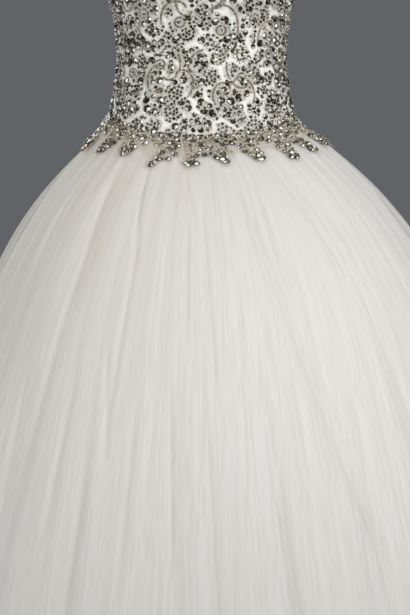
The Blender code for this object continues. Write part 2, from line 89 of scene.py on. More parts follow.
PANEL_SEAM_COLUMNS = ("height", "princess", "side", "back_princess")
PANEL_SEAMS = (
    (-0.135, 27, 92, 150),
    (0.000, 22, 91, 146),
    (0.092, 25, 90, 142),
    (0.150, 31, 90, 138),
    (0.245, 33, 90, 134),
)


def curve(columns, table, column, at):
    """Smooth reading of one column of a table at values of its first column."""
    rows = np.array(table, float)
    keys, values = rows[:, 0], rows[:, columns.index(column)]
    at = np.clip(at, keys[0], keys[-1])
    slopes = np.diff(values)[[0, *range(len(keys) - 1)]] / np.diff(keys)[[0, *range(len(keys) - 1)]]
    slopes[1:-1] = (values[2:] - values[:-2]) / (keys[2:] - keys[:-2])
    left = np.clip(np.searchsorted(keys, at) - 1, 0, len(keys) - 2)
    span = keys[left + 1] - keys[left]
    f = (at - keys[left]) / span
    value = values[left] * (2 * f**3 - 3 * f**2 + 1) + values[left + 1] * (3 * f**2 - 2 * f**3)
    value = value + span * slopes[left] * (f**3 - 2 * f**2 + f)
    return value + span * slopes[left + 1] * (f**3 - f**2)


def smooth_step(value):
    value = np.clip(value, 0, 1)
    return value * value * (3 - 2 * value)


def uneven(index):
    """A steady number from 0 to 1 for a whole number, with no order to it."""
    return (np.sin(np.asarray(index) * 12.9898 + 4.1) * 43758.5453) % 1.0


def outward(angle):
    turn = np.radians(angle)
    return np.stack([np.sin(turn), -np.cos(turn), np.zeros_like(turn)], -1)


def wrapped(angle):
    return (angle + 180) % 360 - 180


def unit(vectors):
    return vectors / np.linalg.norm(vectors, axis=-1, keepdims=True)


def body(angle, height):
    """Points on the bodice's outer side."""
    angle, height = (np.array(v) for v in np.broadcast_arrays(np.asarray(angle, float), height))
    turn = np.radians(angle)
    front = curve(BODICE_COLUMNS, BODICE, "front", height)
    back = curve(BODICE_COLUMNS, BODICE, "back", height)
    depth = np.where(np.cos(turn) > 0, front, back)
    width = curve(BODICE_COLUMNS, BODICE, "half_width", height)
    swell = 1 + SQUARENESS * np.sin(2 * turn) ** 2
    point = np.stack([width * np.sin(turn) * swell, -depth * np.cos(turn) * swell, height], -1)
    across = (np.abs(wrapped(angle)) - CUP_ANGLE) / CUP_SPREAD
    along = (height - CUP_HEIGHT) / CUP_TALL
    return point + outward(angle) * (CUP_RISE * np.exp(-(across**2) - along**2))[..., None]


def body_out(angle, height):
    """The level direction that leaves the bodice squarely."""
    around = body(np.asarray(angle) + 0.5, height) - body(np.asarray(angle) - 0.5, height)
    return unit(np.stack([around[..., 1], -around[..., 0], np.zeros(around.shape[:-1])], -1))


def neckline(angle):
    return curve(NECKLINE_COLUMNS, NECKLINE, "height", np.abs(wrapped(angle)))


def seam_height(angle):
    facing = np.cos(np.radians(angle))
    return SEAM_SIDE - np.where(facing > 0, SEAM_DIP_FRONT, SEAM_DIP_BACK) * facing * facing


def new_look(name, roughness, metallic=0.0, **constants):
    """A material and its shader. Values that hold all over the surface sit on the shader."""
    look = bpy.data.materials.new(name)
    look.use_nodes = True
    shader = look.node_tree.nodes["Principled BSDF"]
    shader.inputs["Roughness"].default_value = roughness
    shader.inputs["Metallic"].default_value = metallic
    for socket, value in constants.items():
        shader.inputs[socket.replace("_", " ")].default_value = value
    return look, look.node_tree, shader


def node(tree, kind, inputs=(), **settings):
    """A node of a kind, with its inputs set from values or linked from sockets."""
    made = tree.nodes.new(kind)
    for key, value in settings.items():
        setattr(made, key, value)
    for socket, value in dict(inputs).items():
        if isinstance(value, bpy.types.NodeSocket):
            tree.links.new(value, made.inputs[socket])
        else:
            made.inputs[socket].default_value = value
    return made


def ramp(tree, factor, *stops):
    """A colour ramp from (place, colour) stops."""
    made = node(tree, "ShaderNodeValToRGB", {"Fac": factor})
    while len(made.color_ramp.elements) < len(stops):
        made.color_ramp.elements.new(0.5)
    for element, (place, colour) in zip(made.color_ramp.elements, stops):
        element.position = place
        element.color = (*colour, 1) if len(colour) == 3 else colour
    return made.outputs["Color"]


def group_of(name, inputs, outputs, kind="ShaderNodeTree"):
    """A node group with named inputs and outputs, as (group, inside input node, output node)."""
    made = bpy.data.node_groups.new(name, kind)
    for label, socket in inputs:
        made.interface.new_socket(label, in_out="INPUT", socket_type=socket)
    for label, socket in outputs:
        made.interface.new_socket(label, in_out="OUTPUT", socket_type=socket)
    return made, made.nodes.new("NodeGroupInput"), made.nodes.new("NodeGroupOutput")


def maths(tree, operation, *terms):
    """The result of a Math node on numbers or sockets."""
    return node(tree, "ShaderNodeMath", dict(enumerate(terms)), operation=operation).outputs[0]


def fitted(tree, value, low, high, least=0.0, most=1.0):
    """A value between low and high, read as one between least and most."""
    ends = {"From Min": low, "From Max": high, "To Min": least, "To Max": most}
    return node(tree, "ShaderNodeMapRange", {"Value": value, **ends}).outputs[0]


def noise(tree, place, scale, detail=2.0):
    sizes = {"Vector": place, "Scale": scale, "Detail": detail}
    return node(tree, "ShaderNodeTexNoise", sizes).outputs["Fac"]


def blended(tree, factor, first, second):
    """One colour that turns into another as the factor grows."""
    colours = {"Factor": factor, "A": first, "B": second}
    return node(tree, "ShaderNodeMix", colours, data_type="RGBA").outputs["Result"]


def attribute(tree, name):
    return node(tree, "ShaderNodeAttribute", attribute_name=name).outputs["Fac"]


def cut_place(tree):
    """The place on the flat cloth, in metres."""
    return node(tree, "ShaderNodeUVMap", uv_map="cut").outputs[0]


def weave_group():
    """Crossed threads in metres of cloth, for satin, lining and tape alike."""
    made, start, end = group_of(
        "weave",
        (("Cut", "NodeSocketVector"), ("Threads", "NodeSocketFloat"), ("Slub", "NodeSocketFloat")),
        (("Height", "NodeSocketFloat"), ("Patch", "NodeSocketFloat")),
    )
    cut, threads = start.outputs["Cut"], start.outputs["Threads"]
    scaled = node(made, "ShaderNodeVectorMath", {0: cut, "Scale": threads}, operation="SCALE").outputs[0]
    wave = {"Vector": scaled, "Scale": 1.0, "Distortion": 0.6}
    ways = [node(made, "ShaderNodeTexWave", wave, bands_direction=way).outputs["Fac"] for way in "XY"]
    made.links.new(maths(made, "MAXIMUM", *ways), end.inputs["Height"])
    made.links.new(noise(made, cut, start.outputs["Slub"], 3.0), end.inputs["Patch"])
    return made


weave = weave_group()
PATCH_RISE = 6.0  # how far a patch of cloth rises, in heights of a thread


def woven_look(name, dark, light, threads, slub, bump, roughness, **constants):
    """A woven cloth: its colour drifts between two near tones, and its threads raise it."""
    look, tree, shader = new_look(name, roughness, **constants)
    sizes = {"Cut": cut_place(tree), "Threads": threads, "Slub": slub}
    cloth = node(tree, "ShaderNodeGroup", sizes, node_tree=weave).outputs
    tree.links.new(ramp(tree, cloth["Patch"], (0.3, dark), (0.7, light)), shader.inputs["Base Color"])
    rise = maths(tree, "MULTIPLY_ADD", cloth["Patch"], PATCH_RISE, cloth["Height"])
    raised = node(tree, "ShaderNodeBump", {"Height": rise, "Strength": 0.5, "Distance": bump})
    tree.links.new(raised.outputs[0], shader.inputs["Normal"])
    return look


satin = woven_look(
    "ivory_satin",
    (0.87, 0.85, 0.80),
    (0.95, 0.935, 0.89),
    threads=900.0,
    slub=70.0,
    bump=0.0002,
    roughness=0.36,
    Sheen_Weight=0.15,
    Coat_Weight=0.05,
)


def stitched_and_shaded(look):
    """Darkens the satin with thread and seed beads, and with painted shade, where the stones stand close."""
    tree = look.node_tree
    base = tree.nodes["Principled BSDF"].inputs["Base Color"]
    threads = noise(tree, cut_place(tree), 520.0)
    # The thread's colour, darkened further to stand for the shade between the stones: painted shade
    thread_and_shade = ramp(tree, threads, (0.38, (0.07, 0.062, 0.045)), (0.62, (0.50, 0.465, 0.37)))
    cloth = base.links[0].from_socket
    tree.links.new(blended(tree, attribute(tree, "work_and_shade"), cloth, thread_and_shade), base)


stitched_and_shaded(satin)

# The stones are sewn on in groups, each of one kind, with crooked channels of bare satin between
GROUP_ACROSS, GROUP_UP = 0.0300, 0.0262
GROUP_JITTER = 0.30  # how far a group's middle strays, as a share of the pitch
GROUP_BEND = 0.0052
CHANNEL, CHANNEL_SWING = 0.0008, 0.0022  # half the channels' width, and how far it swings

# Kinds of groups: their shares, added up, and how far thread and painted shade darken the satin between the
# stones
FINE_DOME, OPEN_DOME, LARGE, MIXED = GROUP_SHARES = 0.27, 0.39, 0.75, 0.91
GROUND_SHARES = np.array([0.50, 0.28, 0.58, 0.66, 0.28])
WORK_AND_SHADE_FADE = 0.002  # the width over which the thread and painted shade fade into a channel
WORK_AND_SHADE_EDGE = 0.002, 0.004  # how far below the neckline the thread and painted shade start, and over what height


def kind_of(number):
    return uneven(number * 1.7 + 0.37)


def bent(places):
    """Flat places on crooked cloth, so that the groups' straight borders turn into curves."""
    x, y = places[..., 0], places[..., 1]
    aside = np.stack([np.sin(y * 74 + 1.3 * np.sin(x * 31)), np.sin(x * 66 + 1.3 * np.sin(y * 37 + 2))], -1)
    return places + GROUP_BEND * aside


def group_middle(column, row):
    """A group's middle on the bent cloth, and its number."""
    number = column * 17 + row * 31
    across = column + 0.5 * (row % 2) + GROUP_JITTER * (2 * uneven(number) - 1)
    up = row + GROUP_JITTER * (2 * uneven(number * 5 + 2) - 1)
    return across * GROUP_ACROSS, up * GROUP_UP, number


def group_at(places):
    """The number of the group that flat places are in, and how far they are from its channel."""
    x, y = np.moveaxis(bent(places), -1, 0)
    column, row = np.floor(x / GROUP_ACROSS), np.floor(y / GROUP_UP)
    nearest, second, found = np.full_like(x, 1.0), np.full_like(x, 1.0), np.zeros_like(x)
    for i in range(-2, 3):
        for j in range(-2, 3):
            middle_x, middle_y, number = group_middle(column + i, row + j)
            away = np.hypot(x - middle_x, y - middle_y)
            closer = away < nearest
            second = np.where(closer, nearest, np.minimum(second, away))
            found = np.where(closer, number, found)
            nearest = np.minimum(nearest, away)
    swing = np.sin(places[..., 0] * 83 + 2) * np.sin(places[..., 1] * 71)
    return found, (second - nearest) / 2 - CHANNEL - CHANNEL_SWING * swing


def grid_faces(rows, columns, first=0):
    """Quads between rows of points that run from top to hem, facing out."""
    a = (np.arange(rows - 1)[:, None] * columns + np.arange(columns - 1)).ravel() + first
    return np.stack([a, a + columns, a + columns + 1, a + 1], 1)


def linked(name, data):
    """A new object of the scene."""
    made = bpy.data.objects.new(name, data)
    bpy.context.scene.collection.objects.link(made)
    return made


def add_mesh(name, points, faces, look, cut=None):
    """A smooth mesh. cut gives each point its place on the flat cloth, in metres."""
    mesh = bpy.data.meshes.new(name)
    mesh.from_pydata(points.reshape(-1, 3).tolist(), [], [list(f) for f in faces])
    mesh.materials.append(look)
    if cut is not None:
        corner = np.empty(len(mesh.loops), np.int32)
        mesh.loops.foreach_get("vertex_index", corner)
        mesh.uv_layers.new(name="cut").data.foreach_set("uv", cut.reshape(-1, 2)[corner].ravel())
    mesh.shade_smooth()
    return linked(name, mesh)


def cloth_wall(name, outer, inner, look, cut):
    """A closed wall of cloth between two grids of points."""
    rows, columns = outer.shape[:2]
    below = rows * columns
    index = np.arange(below).reshape(rows, columns)
    rim = np.concatenate([index[0], index[1:, -1], index[-1, -2::-1], index[-2:0:-1, 0]])
    after = np.roll(rim, -1)
    edge = np.stack([rim, after, after + below, rim + below], 1)
    faces = np.concatenate([grid_faces(rows, columns), grid_faces(rows, columns, below)[:, ::-1], edge])
    made = add_mesh(name, np.stack([outer, inner]), faces, look, np.stack([cut, cut]))
    made.data.set_sharp_from_angle(angle=math.radians(55))
    return made


def panel_seam(column, side, shift):
    """A seam as a function from height to angle, moved aside by half a gap."""
    return lambda h: side * curve(PANEL_SEAM_COLUMNS, PANEL_SEAMS, column, h) + shift * GAP_DEGREES


def centre_back(side):
    return lambda h: side * (180 - ZIP_HALF_OPENING * GAP_DEGREES) + 0 * h


def panel_lines():
    """Each panel's name with its lower and upper seam."""
    half = SEWN_GAP / 2
    yield "front", panel_seam("princess", -1, half), panel_seam("princess", 1, -half)
    for side, word in ((1, "left"), (-1, "right")):
        starts = [panel_seam(c, side, side * half) for c in PANEL_SEAM_COLUMNS[1:]]
        ends = [panel_seam(c, side, -side * half) for c in PANEL_SEAM_COLUMNS[2:]]
        for piece, start, end in zip(("side_front", "side_back", "back"), starts, ends + [centre_back(side)]):
            yield f"{piece}_{word}", *((start, end) if side > 0 else (end, start))


def panel_places(low, high, across, up):
    """Angles and heights at shares of a panel's width and height."""
    angle = np.full(np.broadcast(across, up).shape, 0.5 * (low(0.0) + high(0.0)))
    for _ in range(4):
        height = seam_height(angle) + up * (neckline(angle) - seam_height(angle))
        angle = low(height) + across * (high(height) - low(height))
    return angle, height


PANEL_CUTS = {
    "front": (0.152, 0.372),
    "side_front": (0.176, 0.372),
    "side_back": (0.128, 0.330),
    "back": (0.092, 0.312),
}

for panel, low, high in panel_lines():
    columns = math.ceil((high(0.0) - low(0.0)) * ACROSS * PANEL_EASE / PANEL_PITCH)
    up = 1 - np.linspace(0, 1, PANEL_ROWS + 1)[:, None]
    angle, height = panel_places(low, high, np.linspace(0, 1, columns + 1), up)
    out = body_out(angle, height)
    below = neckline(angle) - height
    aside = np.minimum(angle - low(height), high(height) - angle) * ACROSS
    turned = np.clip(1 - below / EDGE_ROUND, 0, 1) ** 2
    lift = -SEAM_TUCK * np.exp(-((aside / SEAM_TUCK_WIDTH) ** 2)) - SATIN_WALL * EDGE_TURN_OUT * turned
    outer = body(angle, height) + out * lift[..., None]
    inner = body(angle, height) - out * (SATIN_WALL * (1 - EDGE_TURN_IN * turned))[..., None]
    cut = np.stack([angle * ACROSS, height], -1)
    piece = cloth_wall(f"satin_{panel}", outer, inner, satin, cut)
    group, inside = group_at(cut)
    # How far thread and painted shade darken the satin, by the kind of group, fading into the channels and
    # under the neckline
    work_and_shade = GROUND_SHARES[np.searchsorted(GROUP_SHARES, kind_of(group))]
    work_and_shade = work_and_shade * smooth_step(inside / WORK_AND_SHADE_FADE + 0.5)
    work_and_shade = work_and_shade * smooth_step((below - WORK_AND_SHADE_EDGE[0]) / WORK_AND_SHADE_EDGE[1])
    marks = piece.data.attributes.new("work_and_shade", "FLOAT", "POINT").data
    marks.foreach_set("value", np.stack([work_and_shade, 0 * work_and_shade]).astype(np.float32).ravel())
    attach(piece, "dress")
    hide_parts(f"bodice_{panel}")
    size = PANEL_CUTS[panel.removesuffix("_left").removesuffix("_right")]

# ---------------------------------------------------------------- the underskirt
# Three smooth panels of ivory lining satin under the tulle, which keep the layers from clinging
# and make them opaque. They are sewn into the waist seam and hang free to the hem.

UNDERSKIRT_WALL = 0.0015
UNDERSKIRT_HEM = -1.062
UNDERSKIRT_GIRTH = 3.3
UNDERSKIRT_COLUMNS = ("drop", "inset")
UNDERSKIRT = ((0.00, 0.0044), (0.04, 0.010), (0.12, 0.024), (0.40, 0.036), (0.99, 0.044))
UNDERSKIRT_ROWS, UNDERSKIRT_PITCH = 48, 2.5
UNDERSKIRT_CLOSER = 1.4  # how much closer the rows stand at the waist

FLARE_COLUMNS = ("drop", "spread", "swing")
FLARE = (
    (0.000, 0.001, 0.000),
    (0.012, 0.012, 0.003),
    (0.033, 0.034, 0.009),
    (0.082, 0.089, 0.014),
    (0.131, 0.129, 0.017),
    (0.204, 0.177, 0.021),
    (0.304, 0.228, 0.024),
    (0.504, 0.310, 0.028),
    (0.704, 0.380, 0.031),
    (0.990, 0.462, 0.034),
)


def skirt(angle, drop):
    """Points on the skirt's mean surface, without gathers or folds."""
    angle, drop = (np.array(v) for v in np.broadcast_arrays(np.asarray(angle, float), drop))
    spread = curve(FLARE_COLUMNS, FLARE, "spread", drop)
    swing = curve(FLARE_COLUMNS, FLARE, "swing", drop)
    shift = np.stack([swing, np.zeros_like(drop), -drop], -1)
    return body(angle, seam_height(angle)) + outward(angle) * spread[..., None] + shift


def skirt_out(angle, drop):
    """The way a gather rises: level at the seam, then square to the surface."""
    around = skirt(np.asarray(angle) + 0.5, drop) - skirt(np.asarray(angle) - 0.5, drop)
    down = skirt(angle, drop + 0.004) - skirt(angle, np.maximum(drop - 0.004, 0))
    level = body_out(angle, seam_height(angle))
    share = smooth_step(drop / 0.04)[..., None]
    return unit(level + (unit(np.cross(down, around)) - level) * share)


def skirt_places(start, end, columns, share, hem):
    """Angles, drops, and the sideways shift that keeps neighbours a gap apart."""
    angle = np.linspace(start, end, columns + 1) + 0 * share
    drop = SEAM_GAP + share * (seam_height(angle) - hem - SEAM_GAP)
    out = skirt_out(angle, drop)
    aside = unit(np.stack([-out[..., 1], out[..., 0], 0 * drop], -1))
    shift = np.zeros(columns + 1)
    shift[0], shift[-1] = SEWN_GAP / 2, -SEWN_GAP / 2
    return angle, drop, out, aside * shift[:, None]


lining = woven_look(
    "ivory_lining",
    (0.66, 0.63, 0.57),
    (0.74, 0.71, 0.64),
    threads=700.0,
    slub=9.0,
    bump=0.0002,
    roughness=0.42,
    Sheen_Weight=0.1,
)
LINING_SEAMS = (-60, 60, 180, 300)
for panel, start, end in zip(("front", "back_left", "back_right"), LINING_SEAMS, LINING_SEAMS[1:]):
    share = np.linspace(0, 1, UNDERSKIRT_ROWS + 1)[:, None] ** UNDERSKIRT_CLOSER
    columns = round((end - start) / UNDERSKIRT_PITCH)
    angle, drop, out, aside = skirt_places(start, end, columns, share, UNDERSKIRT_HEM)
    inset = curve(UNDERSKIRT_COLUMNS, UNDERSKIRT, "inset", drop)[..., None]
    middle = skirt(angle, drop) + aside
    cut = np.stack([angle * UNDERSKIRT_GIRTH / 360, -drop], -1)
    walls = middle - out * inset, middle - out * (inset + UNDERSKIRT_WALL)
    piece = cloth_wall(f"lining_{panel}", *walls, lining, cut)
    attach(piece, "dress")
    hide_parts(f"underskirt_{panel}")

# ---------------------------------------------------------------- the tulle skirt
# Soft ivory tulle in seven gores, each gathered into the waist seam. The gores are doubled: close
# layers that carry the folds, and one sheer layer that floats over them.

HEM = -1.080
TULLE_WALL = 0.0012
GORES = 7
GATHERS = 56
GATHER_COLUMNS = ("drop", "rise")
GATHER = ((0.00, 0.0034), (0.04, 0.0060), (0.15, 0.0085), (0.40, 0.0110), (0.99, 0.0140))
GATHER_SINK = 0.35
TALLEST_GATHER, LOWEST_GATHER = 1.25, 0.75

# Large folds: angles at the top and below, drops of start and end, depth, half width in degrees
FOLDS = (
    (12, 26, 0.05, 0.52, -0.015, 3.6),
    (-3, 1, 0.05, 0.26, -0.010, 3.0),
    (-37, -39, 0.05, 0.25, -0.011, 4.0),
    (30, 41, 0.04, 0.16, -0.012, 4.5),
    (-10, -8, 0.36, 0.84, -0.013, 3.4),
    (-1, 1, 0.34, 0.96, -0.012, 3.0),
    (12, 15, 0.40, 0.99, -0.022, 3.8),
    (25, 30, 0.36, 0.99, -0.019, 3.6),
    (41, 44, 0.30, 0.99, -0.018, 4.2),
    (-41, -40, 0.34, 0.92, -0.017, 4.2),
    (-27, -25, 0.50, 0.99, -0.015, 3.6),
    (-58, -62, 0.12, 0.80, -0.016, 4.4),
    (66, 71, 0.08, 0.70, -0.018, 4.6),
    (88, 92, 0.30, 0.99, -0.019, 4.4),
    (-86, -83, 0.22, 0.99, -0.017, 4.2),
    (-108, -114, 0.06, 0.60, -0.015, 4.4),
    (112, 117, 0.14, 0.90, -0.016, 4.2),
    (136, 131, 0.34, 0.99, -0.020, 4.0),
    (-133, -130, 0.40, 0.99, -0.018, 3.8),
    (158, 163, 0.10, 0.66, -0.015, 3.8),
    (-156, -161, 0.08, 0.99, -0.017, 4.2),
    (177, 175, 0.36, 0.99, -0.014, 3.4),
)
FOLD_FADE = 0.36  # share of its length over which a fold starts and ends
FOLD_SHARE_AT_END = 0.3  # the least of its depth that it has there
HEM_FOLD = 0.95  # a fold that ends lower than this runs out at the hem

# Sharper creases: thin troughs, in front first, then others like them at the sides and behind
CREASES = (
    (9.0, 27.6, 0.03, 0.60, -0.0068, 0.8),
    (15.4, 18.4, 0.06, 0.24, -0.0050, 0.7),
    (10.2, 13.6, 0.07, 0.25, -0.0040, 0.6),
    (-10.4, -3.4, 0.04, 0.14, -0.0042, 0.8),
    (-3.2, -0.4, 0.09, 0.38, -0.0052, 0.7),
    (-7.6, -7.0, 0.10, 0.28, -0.0036, 0.6),
    (27.4, 34.8, 0.04, 0.21, -0.0045, 0.8),
    (34.0, 40.8, 0.10, 0.46, -0.0052, 0.8),
    (23.0, 27.8, 0.36, 0.68, -0.0050, 0.7),
    (8.4, 12.8, 0.32, 0.76, -0.0060, 0.7),
    (9.4, 12.6, 0.46, 0.74, -0.0050, 0.5),
    (-3.0, -0.2, 0.33, 0.76, -0.0066, 0.7),
    (-9.8, -7.8, 0.33, 0.64, -0.0050, 0.6),
    (-16.4, -16.6, 0.37, 0.62, -0.0042, 0.6),
    (-24.2, -20.6, 0.29, 0.47, -0.0042, 0.7),
    (-24.6, -25.0, 0.45, 0.72, -0.0038, 0.7),
    (-30.2, -30.8, 0.33, 0.56, -0.0032, 0.7),
    (-25.4, -21.2, 0.05, 0.18, -0.0042, 0.8),
    (-21.2, -21.6, 0.13, 0.38, -0.0044, 0.7),
    (-38.6, -36.0, 0.07, 0.19, -0.0032, 0.9),
    (-36.0, -37.4, 0.15, 0.46, -0.0034, 0.9),
    (-42.6, -40.4, 0.35, 0.60, -0.0038, 0.9),
    (-54.0, -52.0, 0.07, 0.22, -0.0030, 0.9),
    (50, 54, 0.10, 0.36, -0.0045, 0.9),
    (63, 61, 0.32, 0.74, -0.0055, 0.8),
    (77, 80, 0.06, 0.28, -0.0040, 0.9),
    (96, 99, 0.24, 0.60, -0.0055, 0.9),
    (105, 103, 0.48, 0.92, -0.0060, 0.8),
    (124, 128, 0.08, 0.30, -0.0045, 0.9),
    (145, 142, 0.30, 0.72, -0.0055, 0.8),
    (151, 154, 0.05, 0.24, -0.0040, 0.8),
    (168, 171, 0.34, 0.80, -0.0060, 0.8),
    (-174, -172, 0.08, 0.33, -0.0045, 0.9),
    (-165, -168, 0.44, 0.90, -0.0060, 0.8),
    (-147, -143, 0.16, 0.46, -0.0045, 0.9),
    (-139, -141, 0.50, 0.88, -0.0055, 0.8),
    (-122, -125, 0.06, 0.29, -0.0040, 0.9),
    (-115, -112, 0.36, 0.78, -0.0060, 0.9),
    (-98, -101, 0.12, 0.40, -0.0045, 0.9),
    (-91, -90, 0.46, 0.86, -0.0055, 0.8),
    (-73, -76, 0.18, 0.50, -0.0050, 0.9),
    (-66, -63, 0.50, 0.90, -0.0055, 0.8),
)

# Softer ripples that run down the cloth and turn into one another, from broad to fine: how many to
# the round, the drop that each runs, its rise, and the drop at which that is whole
RIPPLES = ((34, 0.52, 0.0028, 0.22), (104, 0.46, 0.00044, 0.34), (290, 0.36, 0.00011, 0.44))
WANDERS = ((7, 2.4, 2.0), (17, 1.1, -5.0), (31, 0.5, 9.0))  # times round, degrees, turn with the drop
RIPPLE_START = 0.22  # share of the rise at the waist seam
GATHER_SHOWN, FOLD_SHOWN, CREASE_SHOWN = 0.15, 0.28, 0.80  # how much of them the layers show
UNDER_NET = 0.42  # how far the tulle fills out under the applique, as a share of the gathers
UNDER_NET_END, UNDER_NET_FADE = 0.03, 0.06


def gather_rise(drop):
    return curve(GATHER_COLUMNS, GATHER, "rise", drop)


def gather(angle, drop):
    """How far the gathers lift the tulle."""
    turns = (angle % 360) / 360 * GATHERS
    size = LOWEST_GATHER + (TALLEST_GATHER - LOWEST_GATHER) * uneven(np.floor(turns))
    wave = 0.5 - 0.5 * np.cos(2 * np.pi * turns)
    return gather_rise(drop) * (size * wave - GATHER_SINK)


def folds(angle, drop, table):
    """How far folds or creases move the tulle."""
    moved = np.zeros(np.broadcast(angle, drop).shape)
    for top_angle, low_angle, start, end, depth, half_width in table:
        share = np.clip((drop - start) / (end - start), 0, 1)
        off = wrapped(angle - top_angle - (low_angle - top_angle) * share) / half_width
        length = FOLD_FADE * (end - start)
        fade = smooth_step((drop - start) / length + FOLD_SHARE_AT_END)
        if end < HEM_FOLD:
            fade = fade * smooth_step((end - drop) / length + FOLD_SHARE_AT_END)
        moved += depth * fade * np.exp(-off * off)
    return moved


def ripples(angle, drop, seed):
    """How far the ripples lift the tulle."""
    total = 0
    for times, swing, turn in WANDERS:
        angle = angle + swing * np.sin(np.radians(times * angle) + turn * drop + seed + times)
    for count, run, rise, grown in RIPPLES:
        cells = (angle % 360) / 360 * count
        ends = []
        for step in (0, 1):
            cell = (np.floor(cells) + step) % count
            phase = drop / run + uneven(cell + seed)
            stage = np.floor(phase)
            now, then = (uneven(cell * 3 + (stage + i) * 57 + seed) for i in (0, 1))
            ends.append(now + (then - now) * smooth_step(phase - stage) - 0.5)
        wave = ends[0] + (ends[1] - ends[0]) * smooth_step(cells - np.floor(cells))
        total = total + rise * wave * (RIPPLE_START + (1 - RIPPLE_START) * smooth_step(drop / grown))
    return total


# Streaks in the bunched net: how many to a metre around and along, and their slant in degrees
STREAKS = ((190.0, 1.5, 0.0), (150.0, 1.2, 4.0), (160.0, 1.2, -3.5), (46.0, 0.9, 1.5), (36.0, 0.8, -2.5))
FINE_STREAKS = 100.0  # streaks closer than this fade out towards the waist
BUNCHED_AND_SHADED = (0.72, 0.645, 0.53, 1)  # the tone of many layers, gathered close, and painted shade
BUNCHED_SHADE_RUNS = (30, 1.4, 0.0)
BEIGE_LEAST_AT = 0.85  # the place on the flat cloth where it shows least, in metres
# How masks follow a place on the flat cloth: from, to, the value at the first and at the last
FINE_DOWN = (-0.05, -0.40, 0.15, 1.0)
BEIGE_ASIDE = (0.65, 1.20, 0.15, 1.50)
BEIGE_UP = (-0.42, 0.0, 0.06, 0.58)


def runs_of(tree, cut, around, along, slant, detail, shift=(0, 0, 0)):
    """Noise drawn out down the cloth, so many to a metre around and along."""
    scale, turn = (1 / around, 1 / along, 1.0), (0, 0, math.radians(slant))
    laid = {"Vector": cut, "Location": shift, "Rotation": turn, "Scale": scale}
    drawn = node(tree, "ShaderNodeMapping", laid, vector_type="TEXTURE")
    return noise(tree, drawn.outputs[0], 1.0, detail)


def tulle_look(name, dark, light, alpha=None):
    """Net in soft layers: long streaks where it bunches, paler and closer on their crests, with a beige
    painted shade that is deepest near the waist.
    """
    look, tree, shader = new_look(name, 0.85, Sheen_Weight=0.25, Sheen_Roughness=0.6)
    cut = cut_place(tree)
    around_cloth, height = node(tree, "ShaderNodeSeparateXYZ", {0: cut}).outputs[:2]
    low = fitted(tree, height, *FINE_DOWN)
    streaks = 0.0
    for around, along, slant in STREAKS:
        streak = runs_of(tree, cut, around, along, slant, 2.0)
        share = fitted(tree, noise(tree, cut, 7.0 + around / 20, 1.0), 0.4, 0.6)
        if around > FINE_STREAKS:
            share = maths(tree, "MULTIPLY", share, low)
        streaks = maths(tree, "MULTIPLY_ADD", maths(tree, "SUBTRACT", streak, 0.5), share, streaks)
    streaks = maths(tree, "ADD", streaks, 0.5)
    tint = ramp(tree, streaks, (0.20, dark), (0.80, light))
    # Beige runs of painted shade and of the tone of bunched layers, broad and soft, that fade down the skirt
    # and towards the wearer's left
    off = maths(tree, "ABSOLUTE", maths(tree, "SUBTRACT", around_cloth, BEIGE_LEAST_AT))
    side = fitted(tree, off, *BEIGE_ASIDE)
    near = fitted(tree, height, *BEIGE_UP)
    beige_shade = fitted(tree, runs_of(tree, cut, *BUNCHED_SHADE_RUNS, 2.5, (0.9, 0.3, 0)), 0.20, 0.80)
    beige_shade = maths(tree, "MULTIPLY", maths(tree, "MULTIPLY", beige_shade, near), side)
    tree.links.new(blended(tree, beige_shade, tint, BUNCHED_AND_SHADED), shader.inputs["Base Color"])
    raised = node(tree, "ShaderNodeBump", {"Height": streaks, "Strength": 0.034, "Distance": 0.002})
    tree.links.new(raised.outputs[0], shader.inputs["Normal"])
    if alpha:
        tree.links.new(fitted(tree, streaks, 0.35, 0.65, *alpha), shader.inputs["Alpha"])
    return look


close_tulle = tulle_look("tulle_layers", (0.765, 0.738, 0.692), (0.788, 0.772, 0.736))
sheer_tulle = tulle_look("tulle_sheer", (0.800, 0.787, 0.757), (0.83, 0.822, 0.80), (0.455, 0.545))

HEM_GIRTH = 3.73
ROWS_CLOSER = 1.25  # how much closer the rows stand at the waist
GORE_NAMES = ("front", "front_left", "side_left", "back_left", "back_right", "side_right", "front_right")
# Each layer: columns, rows, how much of the folds it takes, its ripples' seed, how it lies at the
# waist, and how far it lies off below, from which drop
CLOSE_LAYER = (96, 64, 1.0, 11, -0.0008, -0.0050, 0.04)
SHEER_LAYER = (172, 72, 0.8, 0, 0.0010, 0.0050, 0.05)
LAYERS_PART = 0.12  # over how much drop the layers part


def tulle_layer(gore, columns, rows, taken, seed, lie, off, off_from):
    """A layer of a gore: its points, the way that they face, and their places on the flat cloth."""
    start, end = (gore - 0.5) * 360 / GORES, (gore + 0.5) * 360 / GORES
    share = np.linspace(0, 1, rows + 1)[:, None] ** ROWS_CLOSER
    angle, drop, out, aside = skirt_places(start, end, columns, share, HEM)
    lift = taken * (GATHER_SHOWN * gather(angle, drop) + FOLD_SHOWN * folds(angle, drop, FOLDS))
    lift += CREASE_SHOWN * folds(angle, drop, CREASES) + ripples(angle, drop, seed)
    lift += lie + off * smooth_step((drop - off_from) / LAYERS_PART)
    lift += UNDER_NET * gather_rise(drop) * (1 - smooth_step((drop - UNDER_NET_END) / UNDER_NET_FADE))
    points = skirt(angle, drop) + aside + out * lift[..., None]
    return points, out, np.stack([angle * HEM_GIRTH / 360, -drop], -1)


